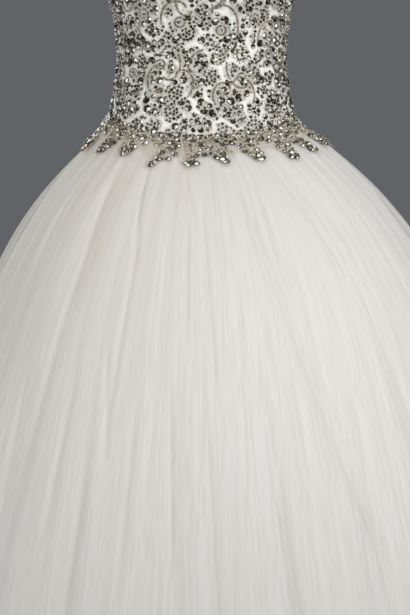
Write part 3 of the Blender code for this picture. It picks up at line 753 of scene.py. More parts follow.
for gore, name in enumerate(GORE_NAMES):
    outer, out, cut = tulle_layer(gore, *CLOSE_LAYER)
    close = cloth_wall(f"tulle_close_{name}", outer, outer - out * TULLE_WALL, close_tulle, cut)
    points, _, cut = tulle_layer(gore, *SHEER_LAYER)
    sheer = add_mesh(f"tulle_sheer_{name}", points, grid_faces(*points.shape[:2]), sheer_tulle, cut)
    for piece in (close, sheer):
        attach(piece, "dress")
        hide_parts(f"skirt_{name}")

# ---------------------------------------------------------------- the hip applique
# A band of fine ivory net, embroidered before it is sewn over the waist seam. It ends below in
# twenty-two leaf-shaped pendants, which lie on the gathers.

NET_WALL = 0.0012
NET_CLEAR = 0.0005
NET_ACROSS = 0.0029  # metres for each degree
NET_OVER = 0.012
PENDANTS = 22
PENDANT_ANGLE = 360 / PENDANTS
VALLEY, TIP_MEAN, TIP_SWING = 0.017, 0.044, 0.005
TIP_SHARPNESS = 1.25
NET_SEAMS = (-11, -7, -3, 3, 7, 11)
NET_NAMES = ("back_right", "side_right", "front", "side_left", "back_left")


def net_edge(angle):
    """The drop of the pendants' lower edge."""
    turns = angle / PENDANT_ANGLE
    tip = TIP_MEAN + TIP_SWING * (2 * uneven(np.floor(turns)) - 1)
    share = 1 - np.abs(2 * (turns % 1.0) - 1)
    return VALLEY + (tip - VALLEY) * share**TIP_SHARPNESS


def net_point(angle, drop, out):
    """Places over the bodice where the drop is below 0, and over the gathers under it."""
    angle, drop = (np.array(v) for v in np.broadcast_arrays(np.asarray(angle, float), drop))
    below = np.maximum(drop, 0)
    lift = gather_rise(below) * (TALLEST_GATHER - GATHER_SINK)
    over = lift * (1 - smooth_step(-drop / NET_OVER)) + out
    height = seam_height(angle) - np.minimum(drop, 0)
    top = body(angle, height) + body_out(angle, height) * over[..., None]
    lift = lift + np.maximum(folds(angle, below, FOLDS), 0) + out
    low = skirt(angle, below) + skirt_out(angle, below) * lift[..., None]
    return np.where((drop < 0)[..., None], top, low)


net = woven_look(
    "embroidered_net",
    (0.70, 0.62, 0.49),
    (0.86, 0.79, 0.66),
    threads=1400.0,
    slub=160.0,
    bump=0.0004,
    roughness=0.7,
    Sheen_Weight=0.2,
    Alpha=0.18,
)
NET_ROWS, NET_PITCH = 26, 0.9
for name, first, last in zip(NET_NAMES, NET_SEAMS, NET_SEAMS[1:]):
    inset = SEAM_GAP / NET_ACROSS
    start, end = first * PENDANT_ANGLE + inset, last * PENDANT_ANGLE - inset
    angle = np.linspace(start, end, round((end - start) / NET_PITCH) + 1)
    share = np.linspace(0, 1, NET_ROWS + 1)[:, None]
    drop = -NET_OVER + share * (net_edge(angle) + NET_OVER)
    angle = angle + 0 * share
    walls = [net_point(angle, drop, NET_CLEAR + w * np.ones_like(drop)) for w in (NET_WALL, 0)]
    piece = cloth_wall(f"net_{name}", *walls, net, np.stack([angle * NET_ACROSS, -drop], -1))
    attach(piece, "dress")
    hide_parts(f"applique_{name}")

# ---------------------------------------------------------------- the crystals
# Foiled glass stones, sewn on one by one in four sizes: large ones in loose rows, middle ones
# between them, rosettes, and domes of the smallest. Bare satin is left between the groups.

CRYSTAL_RADIUS, CRYSTAL_PITCH, CRYSTAL_MARGIN, CRYSTAL_ROWS = 0.0055, 0.032, 0.011, 11
CRYSTAL_FIRST_ROW, CRYSTAL_ROW_SHARE = 0.030, 0.94  # over the seam, and the rows' share of the pitch
CRYSTAL_STRAY = 0.006
# Painted reflections: how brightly each of a stone's facets is painted, one after another round the crown and
# the table
CUT_STONE_GLINTS = (1.0, 0.92, 0.06, 0.30, 0.03, 0.12, 0.64, 0.06), (0.72, 0.10, 0.03, 0.34, 0.05, 0.22, 0.03, 0.14)
SMALL_STONE_GLINTS = (1.0, 0.70, 0.22, 0.12, 0.22, 0.55), (0.62, 0.05, 0.03, 0.05, 0.03, 0.06)
LOWER_CROWN, TABLE_RISE = 0.7, 1.04  # how brightly the crown's lower facets are painted, as a share, and the table's middle
SETTING_SHINE, SETTING_REACH = 0.12, 1.14  # the metal foot round each stone: its painted shine, and how far it reaches
STONE_TILT = 0.17  # how far a stone may lean, as a slope


def pattern(name, points, faces):
    """A mesh to set many times. It never shows, and is taken out at the end."""
    mesh = bpy.data.meshes.new(name)
    mesh.from_pydata(points, [], faces)
    made = linked(name, mesh)
    made.hide_render = True
    return made


def stone_mesh(name, sides, table, height, girdle, shines):
    """A faceted stone of radius 1 on Z = 0. Each facet keeps the brightness of its painted reflection."""
    ring = 2 * np.pi * np.arange(sides) / sides
    top = ring + np.pi / sides
    points = [(math.cos(a), math.sin(a), girdle) for a in ring]
    points += [(table * math.cos(a), table * math.sin(a), height) for a in top]
    points += [(0, 0, height * TABLE_RISE)]
    points += [(SETTING_REACH * math.cos(a), SETTING_REACH * math.sin(a), 0.0) for a in ring]
    faces, shine = [], []
    for i in range(sides):
        j = (i + 1) % sides
        faces += [(i, j, sides + i), (j, sides + j, sides + i), (sides + i, sides + j, 2 * sides)]
        crown, flat = (row[i % len(row)] for row in shines)
        shine += [crown, LOWER_CROWN * crown, flat]
    for i in range(sides):
        j = (i + 1) % sides
        faces.append((2 * sides + 1 + i, 2 * sides + 1 + j, j, i))
        shine.append(SETTING_SHINE)
    made = pattern(name, points, faces)
    made.data.attributes.new("painted_glint", "FLOAT", "FACE").data.foreach_set("value", np.array(shine, np.float32))
    return made


AMBER = (0.46, 0.27, 0.15, 1)
AMBER_TONE, AMBER_FACET = 0.976, 0.40  # the least tone of an amber stone, and its least bright facet
FOIL_SWING, FOIL_LEAST = 0.32, -0.13  # what a stone's own tone adds to its facets' painted reflections


def crystal_look():
    look, tree, shader = new_look("foiled_crystal_painted_glints", 0.09, metallic=0.2, Specular_IOR_Level=0.25)
    painted_glint, tone = attribute(tree, "painted_glint"), attribute(tree, "tone")
    # The base colour is painted reflection: dark facets and white glints, lighter with the stone's tone
    clear = ramp(
        tree,
        maths(tree, "ADD", painted_glint, maths(tree, "MULTIPLY_ADD", tone, FOIL_SWING, FOIL_LEAST)),
        (0.0, (0.006, 0.005, 0.003)),
        (0.20, (0.028, 0.025, 0.014)),
        (0.50, (0.28, 0.25, 0.17)),
        (0.90, (1.0, 0.98, 0.90)),
    )
    # Amber stones are amber only on their bright facets: painted amber glints
    rare = maths(tree, "GREATER_THAN", tone, AMBER_TONE)
    warm = maths(tree, "MULTIPLY", rare, maths(tree, "GREATER_THAN", painted_glint, AMBER_FACET))
    tree.links.new(blended(tree, warm, clear, AMBER), shader.inputs["Base Color"])
    return look


crystal = crystal_look()


def setting_tree():
    """Sets a stone on each point, turned to the cloth, in its own size and spin."""
    tree, start, end = group_of(
        "set_stones",
        (("Geometry", "NodeSocketGeometry"), ("Stone", "NodeSocketObject"), ("Finish", "NodeSocketMaterial")),
        (("Geometry", "NodeSocketGeometry"),),
        "GeometryNodeTree",
    )

    def named(label, kind):
        made = node(tree, "GeometryNodeInputNamedAttribute", {"Name": label}, data_type=kind)
        return made.outputs["Attribute"]

    places, finish = start.outputs["Geometry"], start.outputs["Finish"]
    stone = node(tree, "GeometryNodeObjectInfo", {"Object": start.outputs["Stone"]}).outputs["Geometry"]
    facing = {"Vector": named("facing", "FLOAT_VECTOR")}
    upright = node(tree, "FunctionNodeAlignRotationToVector", facing, axis="Z").outputs[0]
    spin = node(tree, "ShaderNodeCombineXYZ", {"Z": named("spin", "FLOAT")}).outputs[0]
    turns = {"Rotation": upright, "Rotate By": spin}
    turned = node(tree, "FunctionNodeRotateRotation", turns, rotation_space="LOCAL").outputs[0]
    size = named("size", "FLOAT_VECTOR")
    setting = {"Points": places, "Instance": stone, "Rotation": turned, "Scale": size}
    placed = node(tree, "GeometryNodeInstanceOnPoints", setting).outputs[0]
    real = node(tree, "GeometryNodeRealizeInstances", {"Geometry": placed}).outputs[0]
    finished = node(tree, "GeometryNodeSetMaterial", {"Geometry": real, "Material": finish})
    tree.links.new(finished.outputs[0], end.inputs[0])
    return tree


set_stones = setting_tree()


def place_on(name, points, facing, size, spin, tone, stone, look):
    """A joined mesh of one kind of stone or bead on many places."""
    mesh = bpy.data.meshes.new(name)
    mesh.from_pydata(points.tolist(), [], [])
    marks = {"facing": facing, "size": size, "spin": spin, "tone": tone}
    for label, values in marks.items():
        kind, slot = ("FLOAT_VECTOR", "vector") if np.ndim(values) == 2 else ("FLOAT", "value")
        values = np.ascontiguousarray(values, np.float32).ravel()
        mesh.attributes.new(label, kind, "POINT").data.foreach_set(slot, values)
    made = linked(name, mesh)
    setter = made.modifiers.new("set", "NODES")
    setter.node_group = set_stones
    sockets = {s.name: s.identifier for s in set_stones.interface.items_tree if s.in_out == "INPUT"}
    setter[sockets["Stone"]] = stone
    setter[sockets["Finish"]] = look
    graph = bpy.context.evaluated_depsgraph_get()
    made.data = bpy.data.meshes.new_from_object(made.evaluated_get(graph))
    made.modifiers.clear()
    bpy.data.meshes.remove(mesh)
    made.data.name = name
    return made


def on_bodice(flat):
    """Points over the bodice from flat places, with the way that the cloth faces there."""
    angle, height = flat[:, 0] / ACROSS, flat[:, 1]
    around = body(angle + 0.5, height) - body(angle - 0.5, height)
    rising = body(angle, height + 0.001) - body(angle, height - 0.001)
    return body(angle, height), unit(np.cross(around, rising))


def on_net(flat):
    """The same over the applique, where the second number is the height over the seam."""
    angle, drop = flat[:, 0] / NET_ACROSS, -flat[:, 1]
    level = np.full(len(flat), NET_CLEAR + NET_WALL)
    around = net_point(angle + 0.4, drop, level) - net_point(angle - 0.4, drop, level)
    rising = net_point(angle, drop - 0.0015, level) - net_point(angle, drop + 0.0015, level)
    return net_point(angle, drop, level), unit(np.cross(around, rising))


def large_crystals():
    """The large crystals' flat places on the panels: staggered rows, a little uneven."""
    places = []
    for _, low, high in panel_lines():
        middle = 0.5 * (low(0.0) + high(0.0))
        for row in range(CRYSTAL_ROWS):
            height = SEAM_SIDE + CRYSTAL_FIRST_ROW + row * CRYSTAL_PITCH * CRYSTAL_ROW_SHARE
            room = (high(height) - low(height)) * ACROSS - 2 * CRYSTAL_MARGIN
            count = max(round(float(room) / CRYSTAL_PITCH), 1)
            for i in range(count + row % 2):
                share = (i + 0.5 * (1 - row % 2)) / count
                seed = round(float(middle)) * 7 + row * 13 + i
                across = low(height) * ACROSS + CRYSTAL_MARGIN + room * share
                up = height + CRYSTAL_STRAY * (uneven(seed) - 0.5)
                bottom = seam_height(across / ACROSS) + NET_OVER + CRYSTAL_MARGIN
                if bottom < up < neckline(across / ACROSS) - CRYSTAL_MARGIN:
                    places.append((float(across), float(up)))
    return places


# Scrolls of bead cord on the flat bodice. Each runs on from a place and a heading, and curls
# towards its end. They lie on both sides of the centre, unlike from left to right.
# Angle, height, heading, length, bend at the start, bend at the end (radians to a metre)
SCROLLS = (
    (9, -0.072, 118, 0.058, -34, -190),
    (-9, -0.060, 50, 0.064, 30, 150),
    (17, -0.006, 262, 0.066, 20, 170),
    (-16, 0.006, 296, 0.060, -26, -160),
    (2, 0.012, 198, 0.052, 24, 190),
    (5, 0.070, 24, 0.056, 26, 170),
    (24, 0.036, 82, 0.074, 22, 130),
    (-26, 0.048, 100, 0.066, -30, -120),
    (12, 0.108, 300, 0.050, -24, -210),
    (-13, 0.100, 240, 0.056, 24, 190),
    (33, -0.070, 62, 0.070, 30, 150),
    (-33, -0.052, 128, 0.066, -30, -160),
    (41, 0.016, 112, 0.062, -26, -170),
    (-43, 0.008, 66, 0.070, 26, 130),
    (44, 0.110, 256, 0.062, 28, 160),
    (-46, 0.112, 300, 0.064, -26, -150),
    (55, -0.044, 68, 0.064, 24, 180),
    (-57, -0.034, 248, 0.050, 30, 190),
    (62, 0.038, 96, 0.068, -28, -150),
    (-65, 0.030, 80, 0.072, 26, 150),
    (70, 0.132, 250, 0.056, -24, -180),
    (-74, 0.140, 290, 0.058, 24, 170),
    (77, -0.020, 262, 0.054, 26, 190),
    (-80, -0.036, 74, 0.066, -26, -160),
    (89, 0.016, 100, 0.070, 24, 140),
    (-94, 0.034, 84, 0.066, -26, -150),
    (98, 0.140, 270, 0.056, -26, -190),
    (-103, -0.020, 280, 0.062, 24, 160),
    (109, -0.044, 98, 0.064, 28, 170),
    (-112, 0.064, 72, 0.068, 26, 140),
    (118, 0.042, 80, 0.072, -24, -150),
    (-124, 0.022, 262, 0.064, -26, -160),
    (131, -0.060, 76, 0.070, 24, 150),
    (-134, 0.084, 92, 0.060, 28, 180),
    (141, 0.100, 256, 0.062, 26, 160),
    (-147, 0.010, 84, 0.072, -24, -140),
    (151, -0.004, 70, 0.066, -28, -170),
    (-158, -0.066, 90, 0.068, 26, 150),
    (163, 0.080, 100, 0.056, -26, -180),
    (-168, 0.074, 82, 0.054, 28, 170),
    (170, -0.060, 96, 0.060, 24, 150),
)
# Small rings of cord, each round one stone: angle, height, radius
RINGS = (
    (-14, 0.052, 0.0072),
    (13, 0.040, 0.0068),
    (27, -0.030, 0.0066),
    (-28, -0.010, 0.0068),
    (-4, -0.040, 0.0060),
    (35, 0.058, 0.0068),
    (-38, 0.066, 0.0070),
    (50, 0.006, 0.0066),
    (-51, -0.022, 0.0066),
    (69, -0.008, 0.0066),
    (-72, 0.076, 0.0068),
    (93, 0.082, 0.0070),
    (-97, -0.004, 0.0066),
    (113, 0.012, 0.0066),
    (-118, 0.036, 0.0070),
    (137, 0.024, 0.0066),
    (-141, -0.038, 0.0066),
    (157, 0.050, 0.0066),
    (-163, 0.024, 0.0068),
    (21, 0.146, 0.0070),
    (-24, 0.156, 0.0070),
    (1, 0.094, 0.0068),
)
CORD_HALF = 0.0019
CORD_CLEAR = 0.0009


def scroll_line(angle, height, heading, length, start_bend, end_bend, step=0.0015):
    """A flat line that bends more and more, from a place and a heading in degrees."""
    along = np.arange(0, length, step)
    turn = start_bend * along + (end_bend - start_bend) * along**4 / (4 * length**3)
    way = np.radians(heading) + turn
    shifts = np.stack([np.cos(way), np.sin(way)], -1) * step
    return np.cumsum(shifts, 0) + (angle * ACROSS, height)


def ring_line(angle, height, radius):
    turn = np.linspace(0, 2 * np.pi, 26)
    return np.stack([angle * ACROSS + radius * np.cos(turn), height + radius * np.sin(turn)], -1)


cord_lines = [scroll_line(*row) for row in SCROLLS] + [ring_line(*row) for row in RINGS]

DOME_REACH = 0.024


def dome_places(middle, pitch):
    """Rings of small stones, one inside another."""
    places = [middle]
    for ring in range(1, round(DOME_REACH / pitch) + 1):
        count = round(2 * math.pi * ring)
        turn = 2 * np.pi * (np.arange(count) + 0.5 * (ring % 2)) / count
        places += [middle + ring * pitch * np.array([math.cos(t), math.sin(t)]) for t in turn]
    return np.array(places)


class Ground:
    """Keeps stones apart on flat cloth: each has a place and a radius."""

    CELL = 0.0128

    def __init__(self):
        self.cells = {}

    def add(self, stones):
        for x, y, radius in stones:
            key = int(x // self.CELL), int(y // self.CELL)
            self.cells.setdefault(key, []).append((x, y, radius))

    def free(self, x, y, radius, gap):
        column, row = int(x // self.CELL), int(y // self.CELL)
        near = [(column + i, row + j) for i in (-1, 0, 1) for j in (-1, 0, 1)]
        others = (stone for key in near for stone in self.cells.get(key, ()))
        return all(math.hypot(a - x, b - y) > r + radius + gap for a, b, r in others)


def scattered(ground, count, radii, reach, allowed, seed, gap=0.0):
    """Stones thrown one by one on free cloth, in an even but unordered spread."""
    order = np.arange(count)
    share = (0.5 + order[:, None] * (0.7548776662, 0.5698402909) + seed) % 1.0
    places = reach[0] + share * (reach[1] - reach[0])
    sizes = radii[0] + (radii[1] - radii[0]) * uneven(order + 77 * seed)
    keep = allowed(places, radii[1])
    found = []
    for x, y, radius in np.column_stack([places, sizes])[keep].tolist():
        if ground.free(x, y, radius, gap):
            ground.add([(x, y, radius)])
            found.append((x, y, radius))
    return found


ZIP_CLEAR = 0.009
EDGE_CLEAR = 0.002
BODICE_HIGH = np.array([180 * ACROSS - ZIP_CLEAR, 0.24])
BODICE_LOW = np.array([-BODICE_HIGH[0], SEAM_SIDE - SEAM_DIP_FRONT])


def inside_bodice(places, margin):
    angle, height = places[:, 0] / ACROSS, places[:, 1]
    clear = (np.abs(places[:, 0]) < BODICE_HIGH[0]) & (height < neckline(angle) - margin - EDGE_CLEAR)
    return clear & (height > seam_height(angle) + NET_OVER + 0.7 * margin)


def clothed(places, margin):
    return inside_bodice(places, margin) & (group_at(places)[1] > 0.6 * margin)


def in_groups(low, high):
    """A test for places in groups of some kinds."""

    def allowed(places, margin):
        kind = kind_of(group_at(places)[0])
        return clothed(places, margin) & (low <= kind) & (kind < high)

    return allowed


def lines_in(lines, allowed, margin):
    """The stretches of lines that keep a margin, each point with the cord's half width."""
    points = np.concatenate(lines)[::2]
    points = points[allowed(points, margin)]
    return [(x, y, CORD_HALF + CORD_CLEAR) for x, y in points.tolist()]


def on_cloth(stones, allowed, margin):
    return [stone for stone, inside in zip(stones, allowed(np.array(stones)[:, :2], margin)) if inside]


GROUP_COLUMNS, GROUP_ROWS = range(-14, 15), range(-6, 11)  # the groups that reach over the bodice
FINE_PITCH, OPEN_PITCH = 0.0055, 0.0078
DOME_STONE, DOME_STONE_SWING = 0.43, 0.06  # a dome's stones, as shares of its pitch
DOME_ROOM = 0.38  # the room that each must find, as a share of the pitch
STONE_GAP = 0.0001
CORD_MARGIN, RING_MARGIN = 0.003, 0.004  # how far cords and rings keep from the satin's edges
RING_STONE, RING_ROOM = 0.0028, 0.0048
ROSETTE_ROOM, ROSETTE_RING = 0.0078, 0.0053
ROSETTE_MIDDLE, ROSETTE_PETAL, PETALS = 0.0027, 0.0024, 6

ground = Ground()
large = [(*p, CRYSTAL_RADIUS) for p in large_crystals()]
ground.add(large)
ground.add(lines_in(cord_lines, inside_bodice, CORD_MARGIN))
small, middle_stones = [], []
for column in GROUP_COLUMNS:
    for row in GROUP_ROWS:
        across, up, number = group_middle(column, row)
        kind = kind_of(number)
        if kind >= OPEN_DOME:
            continue
        pitch = FINE_PITCH if kind < FINE_DOME else OPEN_PITCH
        middle = np.array([across, up])
        for _ in range(5):
            middle = middle + (across, up) - bent(middle)
        dome = dome_places(middle, pitch)
        dome = dome[clothed(dome, 0.4 * pitch) & (group_at(dome)[0] == number)]
        for x, y in dome.tolist():
            if ground.free(x, y, DOME_ROOM * pitch, STONE_GAP):
                seed = len(small) + len(middle_stones)
                radius = pitch * (DOME_STONE + DOME_STONE_SWING * float(uneven(seed)))
                (small if kind < FINE_DOME else middle_stones).append((x, y, radius))
ground.add(small)
ground.add(middle_stones)

ring_stones = [(angle * ACROSS, height, RING_STONE) for angle, height, _ in RINGS]
ring_stones = on_cloth(ring_stones, inside_bodice, RING_MARGIN)
ground.add([(x, y, RING_ROOM) for x, y, _ in ring_stones])
middle_stones += ring_stones
reach = BODICE_LOW, BODICE_HIGH
rosette = ROSETTE_ROOM, ROSETTE_ROOM
for x, y, _ in scattered(ground, 2500, rosette, reach, in_groups(MIXED, 1), 0.31):
    middle_stones.append((x, y, ROSETTE_MIDDLE))
    for i in range(PETALS):
        turn = i * 2 * math.pi / PETALS + x * 90
        petal = x + ROSETTE_RING * math.cos(turn), y + ROSETTE_RING * math.sin(turn)
        middle_stones.append((*petal, ROSETTE_PETAL))
# Then each size of stone is thrown on what is left, from the largest down
large_middle = scattered(ground, 30000, (0.0049, 0.0060), reach, in_groups(OPEN_DOME, LARGE), 0.13)
large_middle += scattered(ground, 20000, (0.0038, 0.0046), reach, in_groups(OPEN_DOME, 1), 0.69)
middle_stones += scattered(ground, 36000, (0.0027, 0.0034), reach, clothed, 0.57, -0.0002)
small += scattered(ground, 40000, (0.0021, 0.0026), reach, in_groups(LARGE, 1), 0.83, -0.0001)
small += scattered(ground, 16000, (0.0019, 0.0024), reach, clothed, 0.29, -0.0001)
seeds = scattered(ground, 12000, (0.0011, 0.0014), reach, clothed, 0.47, -0.0001)

# Sides, then the table's radius, the height and the girdle's height as shares of the stone's radius
stone_large = stone_mesh("stone_large", 8, 0.52, 0.60, 0.20, CUT_STONE_GLINTS)
stone_middle = stone_mesh("stone_middle", 7, 0.50, 0.62, 0.20, CUT_STONE_GLINTS)
stone_small = stone_mesh("stone_small", 6, 0.64, 0.66, 0.20, SMALL_STONE_GLINTS)
# Amber stones: where they gather, their share there and their tone, and the highest clear tone
WARM_SPOTS, WARM_SHARE, WARM_TONE, CLEAR_TONE = 0.945, 0.60, 0.99, 0.975
NET_LEAST_TONE = 0.60  # the applique's stones get the brighter painted reflections
OVAL_FROM, OVAL_SHARE, OVAL = 0.0040, 0.28, 0.74  # larger stones, some of which are oval


def stone_tone(places, least):
    """How each stone is foiled, from 0 to 1. The highest tones are amber, in a few small clusters."""
    order = np.arange(len(places))
    near = np.sin(places[:, 0] * 43 + 1.1) * np.sin(places[:, 1] * 47 + 0.6) > WARM_SPOTS
    warm = near & (uneven(order * 23 + 6) < WARM_SHARE)
    return np.where(warm, WARM_TONE, least + (CLEAR_TONE - least) * uneven(order * 7 + 3))


def set_in_place(name, stones, surface, stone):
    stones = np.array(stones)
    radius, order = stones[:, 2], np.arange(len(stones))
    points, facing = surface(stones[:, :2])
    lean = np.stack([uneven(order * 11 + 5), uneven(order * 13 + 2), uneven(order * 17 + 9)], -1) - 0.5
    facing = unit(facing + 2 * STONE_TILT * lean)
    is_oval = (radius > OVAL_FROM) & (uneven(order * 19 + 4) > 1 - OVAL_SHARE)
    size = np.stack([radius, radius * np.where(is_oval, OVAL, 1.0), radius], -1)
    tone = stone_tone(stones, NET_LEAST_TONE if surface is on_net else 0.0)
    piece = place_on(name, points, facing, size, 6.28 * uneven(order + 0.5), tone, stone, crystal)
    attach(piece, "dress")


set_in_place("crystals_large", large, on_bodice, stone_large)
set_in_place("crystals_middle_large", large_middle, on_bodice, stone_large)
set_in_place("crystals_middle", middle_stones, on_bodice, stone_middle)
set_in_place("crystals_small", small, on_bodice, stone_small)

# The applique's stones: the largest near each pendant's tip, the rest close together on the net
NET_REACH, NET_DEEPEST = 180 * NET_ACROSS - 0.004, 0.048
NET_LOW, NET_HIGH = np.array([-NET_REACH, -NET_DEEPEST]), np.array([NET_REACH, NET_OVER])


def on_the_net(places, margin):
    low = -net_edge(places[:, 0] / NET_ACROSS) + 0.8 * margin
    return (low < places[:, 1]) & (places[:, 1] < NET_OVER - 0.1 * margin)


# Each pendant has a bent stem of cord to its tip, and every second one a curl beside it. The
# numbers are those of SCROLLS, from the pendant's own middle
STEM, STEM_BEND = (0, 0.006, -62, 0.040), 24
CURL = (0, -0.012, 70, 0.030, -30, -260)
pendants = range(-PENDANTS // 2, PENDANTS // 2)
net_lines = []
for pendant in pendants:
    stem = (pendant + 0.2 + 0.2 * uneven(pendant)) * PENDANT_ANGLE * NET_ACROSS
    bend = STEM_BEND if pendant % 2 else -STEM_BEND
    net_lines.append(scroll_line(*STEM, -bend, bend) + (stem, 0))
    if pendant % 2:
        curl = (pendant + 0.75) * PENDANT_ANGLE * NET_ACROSS
        net_lines.append(scroll_line(*CURL) + (curl, 0))

LEAF_HALF, LEAF_HALF_SWING = 0.0070, 0.0095  # a pendant's half width at its root
LEAF_ROOT = 0.008  # the drop at which it starts
LEAF_LEAN, LEAF_FAN = 0.90, 0.45  # how far its root leans: by chance, and towards the centre
LEAF_SHORTEST = 0.84  # the least share of the net's tip that its stones reach
LEAF_STONES = (0.80, 0.56, 0.32)  # how far down its rim the larger stones are
LEAF_STONES_KEPT = 0.85
TIP_STONE = 0.0046
OVER_TIP, OVER_TIP_LEAN = 0.0150, 0.0110  # how far over the net's tip its large crystal is, and aside
IN_VALLEY = 0.002  # the drop of the large crystals between the pendants
RIM_STONE, RIM_STONE_SWING, RIM_INSET = 0.0038, 0.0013, 0.0010
BAND_DROP, BAND_WAVE = 0.010, 0.005  # the lower edge of the band of small stones over the leaves
FAR_ASIDE = 9.0


def leaf_tip(pendant):
    """The drop at which a pendant's stones end."""
    full = net_edge((pendant + 0.5) * PENDANT_ANGLE)
    return full * (LEAF_SHORTEST + (1 - LEAF_SHORTEST) * uneven(pendant * 4 + 1))


def leaf_half(pendant):
    return LEAF_HALF + LEAF_HALF_SWING * uneven(pendant * 7 + 5)


def leaf_lean(pendant):
    """How fast its stem runs aside on the way up. The pendants fan out from centre front and back."""
    fan = -LEAF_FAN * np.sin(np.radians(2 * (pendant + 0.5) * PENDANT_ANGLE))
    return fan + LEAF_LEAN * (uneven(pendant * 3 + 1) - 0.5)


def aside_of_leaf(places):
    """How far a place is from the middle of its pendant, as a share of the half width there."""
    least = np.full(len(places), FAR_ASIDE)
    for shift in (-1, 0, 1):
        pendant = np.floor(places[:, 0] / (PENDANT_ANGLE * NET_ACROSS)) + shift
        tip = leaf_tip(pendant)
        stem = (pendant + 0.5) * PENDANT_ANGLE * NET_ACROSS + leaf_lean(pendant) * (tip + places[:, 1])
        down = (-places[:, 1] - LEAF_ROOT) / (tip - LEAF_ROOT)
        half = leaf_half(pendant) * (1 - np.clip(down, 0, 0.999)) ** 0.5
        least = np.minimum(least, np.where(down < 1, np.abs(places[:, 0] - stem) / half, FAR_ASIDE))
    return least


def net_filled(places, margin):
    """The part of the net that small stones fill: the upper band and the leaves."""
    band = -places[:, 1] < BAND_DROP + BAND_WAVE * np.sin(places[:, 0] * 260) - margin
    return on_the_net(places, margin) & (band | (aside_of_leaf(places) < 1 - margin / LEAF_HALF))


net_ground = Ground()
net_large, net_tips = [], []
for pendant in pendants:
    centre = (pendant + 0.5) * PENDANT_ANGLE * NET_ACROSS
    tip, lean = float(leaf_tip(pendant)), float(leaf_lean(pendant))
    net_tips.append((centre, TIP_STONE - tip, TIP_STONE))
    full = float(net_edge((pendant + 0.5) * PENDANT_ANGLE))
    net_large.append((centre + OVER_TIP_LEAN * lean, OVER_TIP - full, CRYSTAL_RADIUS))
    for side in (-1, 1):
        for i, down in enumerate(LEAF_STONES):
            if uneven(pendant * 11 + i * 5 + side) < LEAF_STONES_KEPT:
                depth = LEAF_ROOT + down * (tip - LEAF_ROOT)
                aside = side * (float(leaf_half(pendant)) * (1 - down) ** 0.5 - RIM_INSET)
                radius = RIM_STONE + RIM_STONE_SWING * uneven(pendant * 5 + i * 9 + side)
                net_tips.append((centre + aside + lean * (tip - depth), -depth, radius))
    if pendant not in NET_SEAMS:
        net_large.append((pendant * PENDANT_ANGLE * NET_ACROSS, -IN_VALLEY, CRYSTAL_RADIUS))
net_ground.add(net_large)
net_ground.add(net_tips)
net_ground.add(lines_in(net_lines, on_the_net, 0.002))
reach = NET_LOW, NET_HIGH
net_tips += scattered(net_ground, 2000, (0.0040, 0.0052), reach, net_filled, 0.23)
net_middle = scattered(net_ground, 9000, (0.0027, 0.0035), reach, net_filled, 0.41, -0.0004)
net_small = scattered(net_ground, 16000, (0.0018, 0.0023), reach, net_filled, 0.71, -0.0004)
net_seeds = scattered(net_ground, 12000, (0.0011, 0.0014), reach, net_filled, 0.37, -0.0004)
set_in_place("applique_crystals_large", net_large, on_net, stone_large)
set_in_place("applique_crystals_tips", net_tips, on_net, stone_large)
set_in_place("applique_crystals_middle", net_middle, on_net, stone_middle)
set_in_place("applique_crystals_small", net_small, on_net, stone_small)

# ---------------------------------------------------------------- the bead cords
# Rows of tiny oval beads, old silver on the bodice and old gold on the applique, couched down in
# scrolls, and loose seed beads between the stones, champagne on the applique.

BEAD_PITCH = 0.0019
BEAD_HALF = (0.0010, 0.0019, 0.0013)  # along, across and up
BEAD_SIDES = 6
BEAD_TOP, BEAD_RINGS = 1.4, ((0.75, 1.1), (1.0, 0.35))  # its height, then radii and heights of rings
BEAD_MARGIN = 0.002


def bead_mesh(name):
    points, faces = [(0, 0, BEAD_TOP)], []
    for radius, height in BEAD_RINGS:
        for i in range(BEAD_SIDES):
            turn = i * 2 * math.pi / BEAD_SIDES
            points.append((radius * math.cos(turn), radius * math.sin(turn), height))
    for i in range(BEAD_SIDES):
        a, b = 1 + i, 1 + (i + 1) % BEAD_SIDES
        faces += [(0, a, b), (a, a + BEAD_SIDES, b + BEAD_SIDES, b)]
    made = pattern(name, points, faces)
    made.data.shade_smooth()
    return made


def bead_look(name, dark, middle, light):
    look, tree, shader = new_look(name, 0.32, metallic=0.6)
    shades = ramp(tree, attribute(tree, "tone"), (0.0, dark), (0.6, middle), (1.0, light))
    tree.links.new(shades, shader.inputs["Base Color"])
    return look


bead = bead_mesh("bead")
old_silver = bead_look("old_silver_beads", (0.12, 0.10, 0.07), (0.32, 0.28, 0.21), (0.62, 0.57, 0.46))
champagne = bead_look("champagne_beads", (0.30, 0.235, 0.15), (0.62, 0.54, 0.40), (0.95, 0.90, 0.78))
old_gold = bead_look("old_gold_beads", (0.20, 0.16, 0.095), (0.44, 0.37, 0.25), (0.78, 0.70, 0.54))


def set_beads(name, places, headings, half, surface, look):
    points, facing = surface(places)
    order = np.arange(len(places))
    piece = place_on(name, points, facing, half, headings, uneven(order * 3 + 1), bead, look)
    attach(piece, "dress")


def cord_beads(name, lines, inside, surface, look):
    """Beads at even steps along flat lines, each turned along its line."""
    places, headings = [], []
    for line in lines:
        reach = np.append(0, np.cumsum(np.hypot(*np.diff(line, axis=0).T)))
        along = np.arange(0, reach[-1], BEAD_PITCH)
        spots, ahead, behind = (
            np.stack([np.interp(along + shift, reach, line[:, i]) for i in (0, 1)], -1)
            for shift in (0, 0.001, -0.001)
        )
        way = ahead - behind
        keep = inside(spots, BEAD_MARGIN)
        places.append(spots[keep])
        headings.append(np.arctan2(way[:, 1], way[:, 0])[keep])
    places = np.concatenate(places)
    halves = np.tile(BEAD_HALF, (len(places), 1))
    set_beads(name, places, np.concatenate(headings), halves, surface, look)


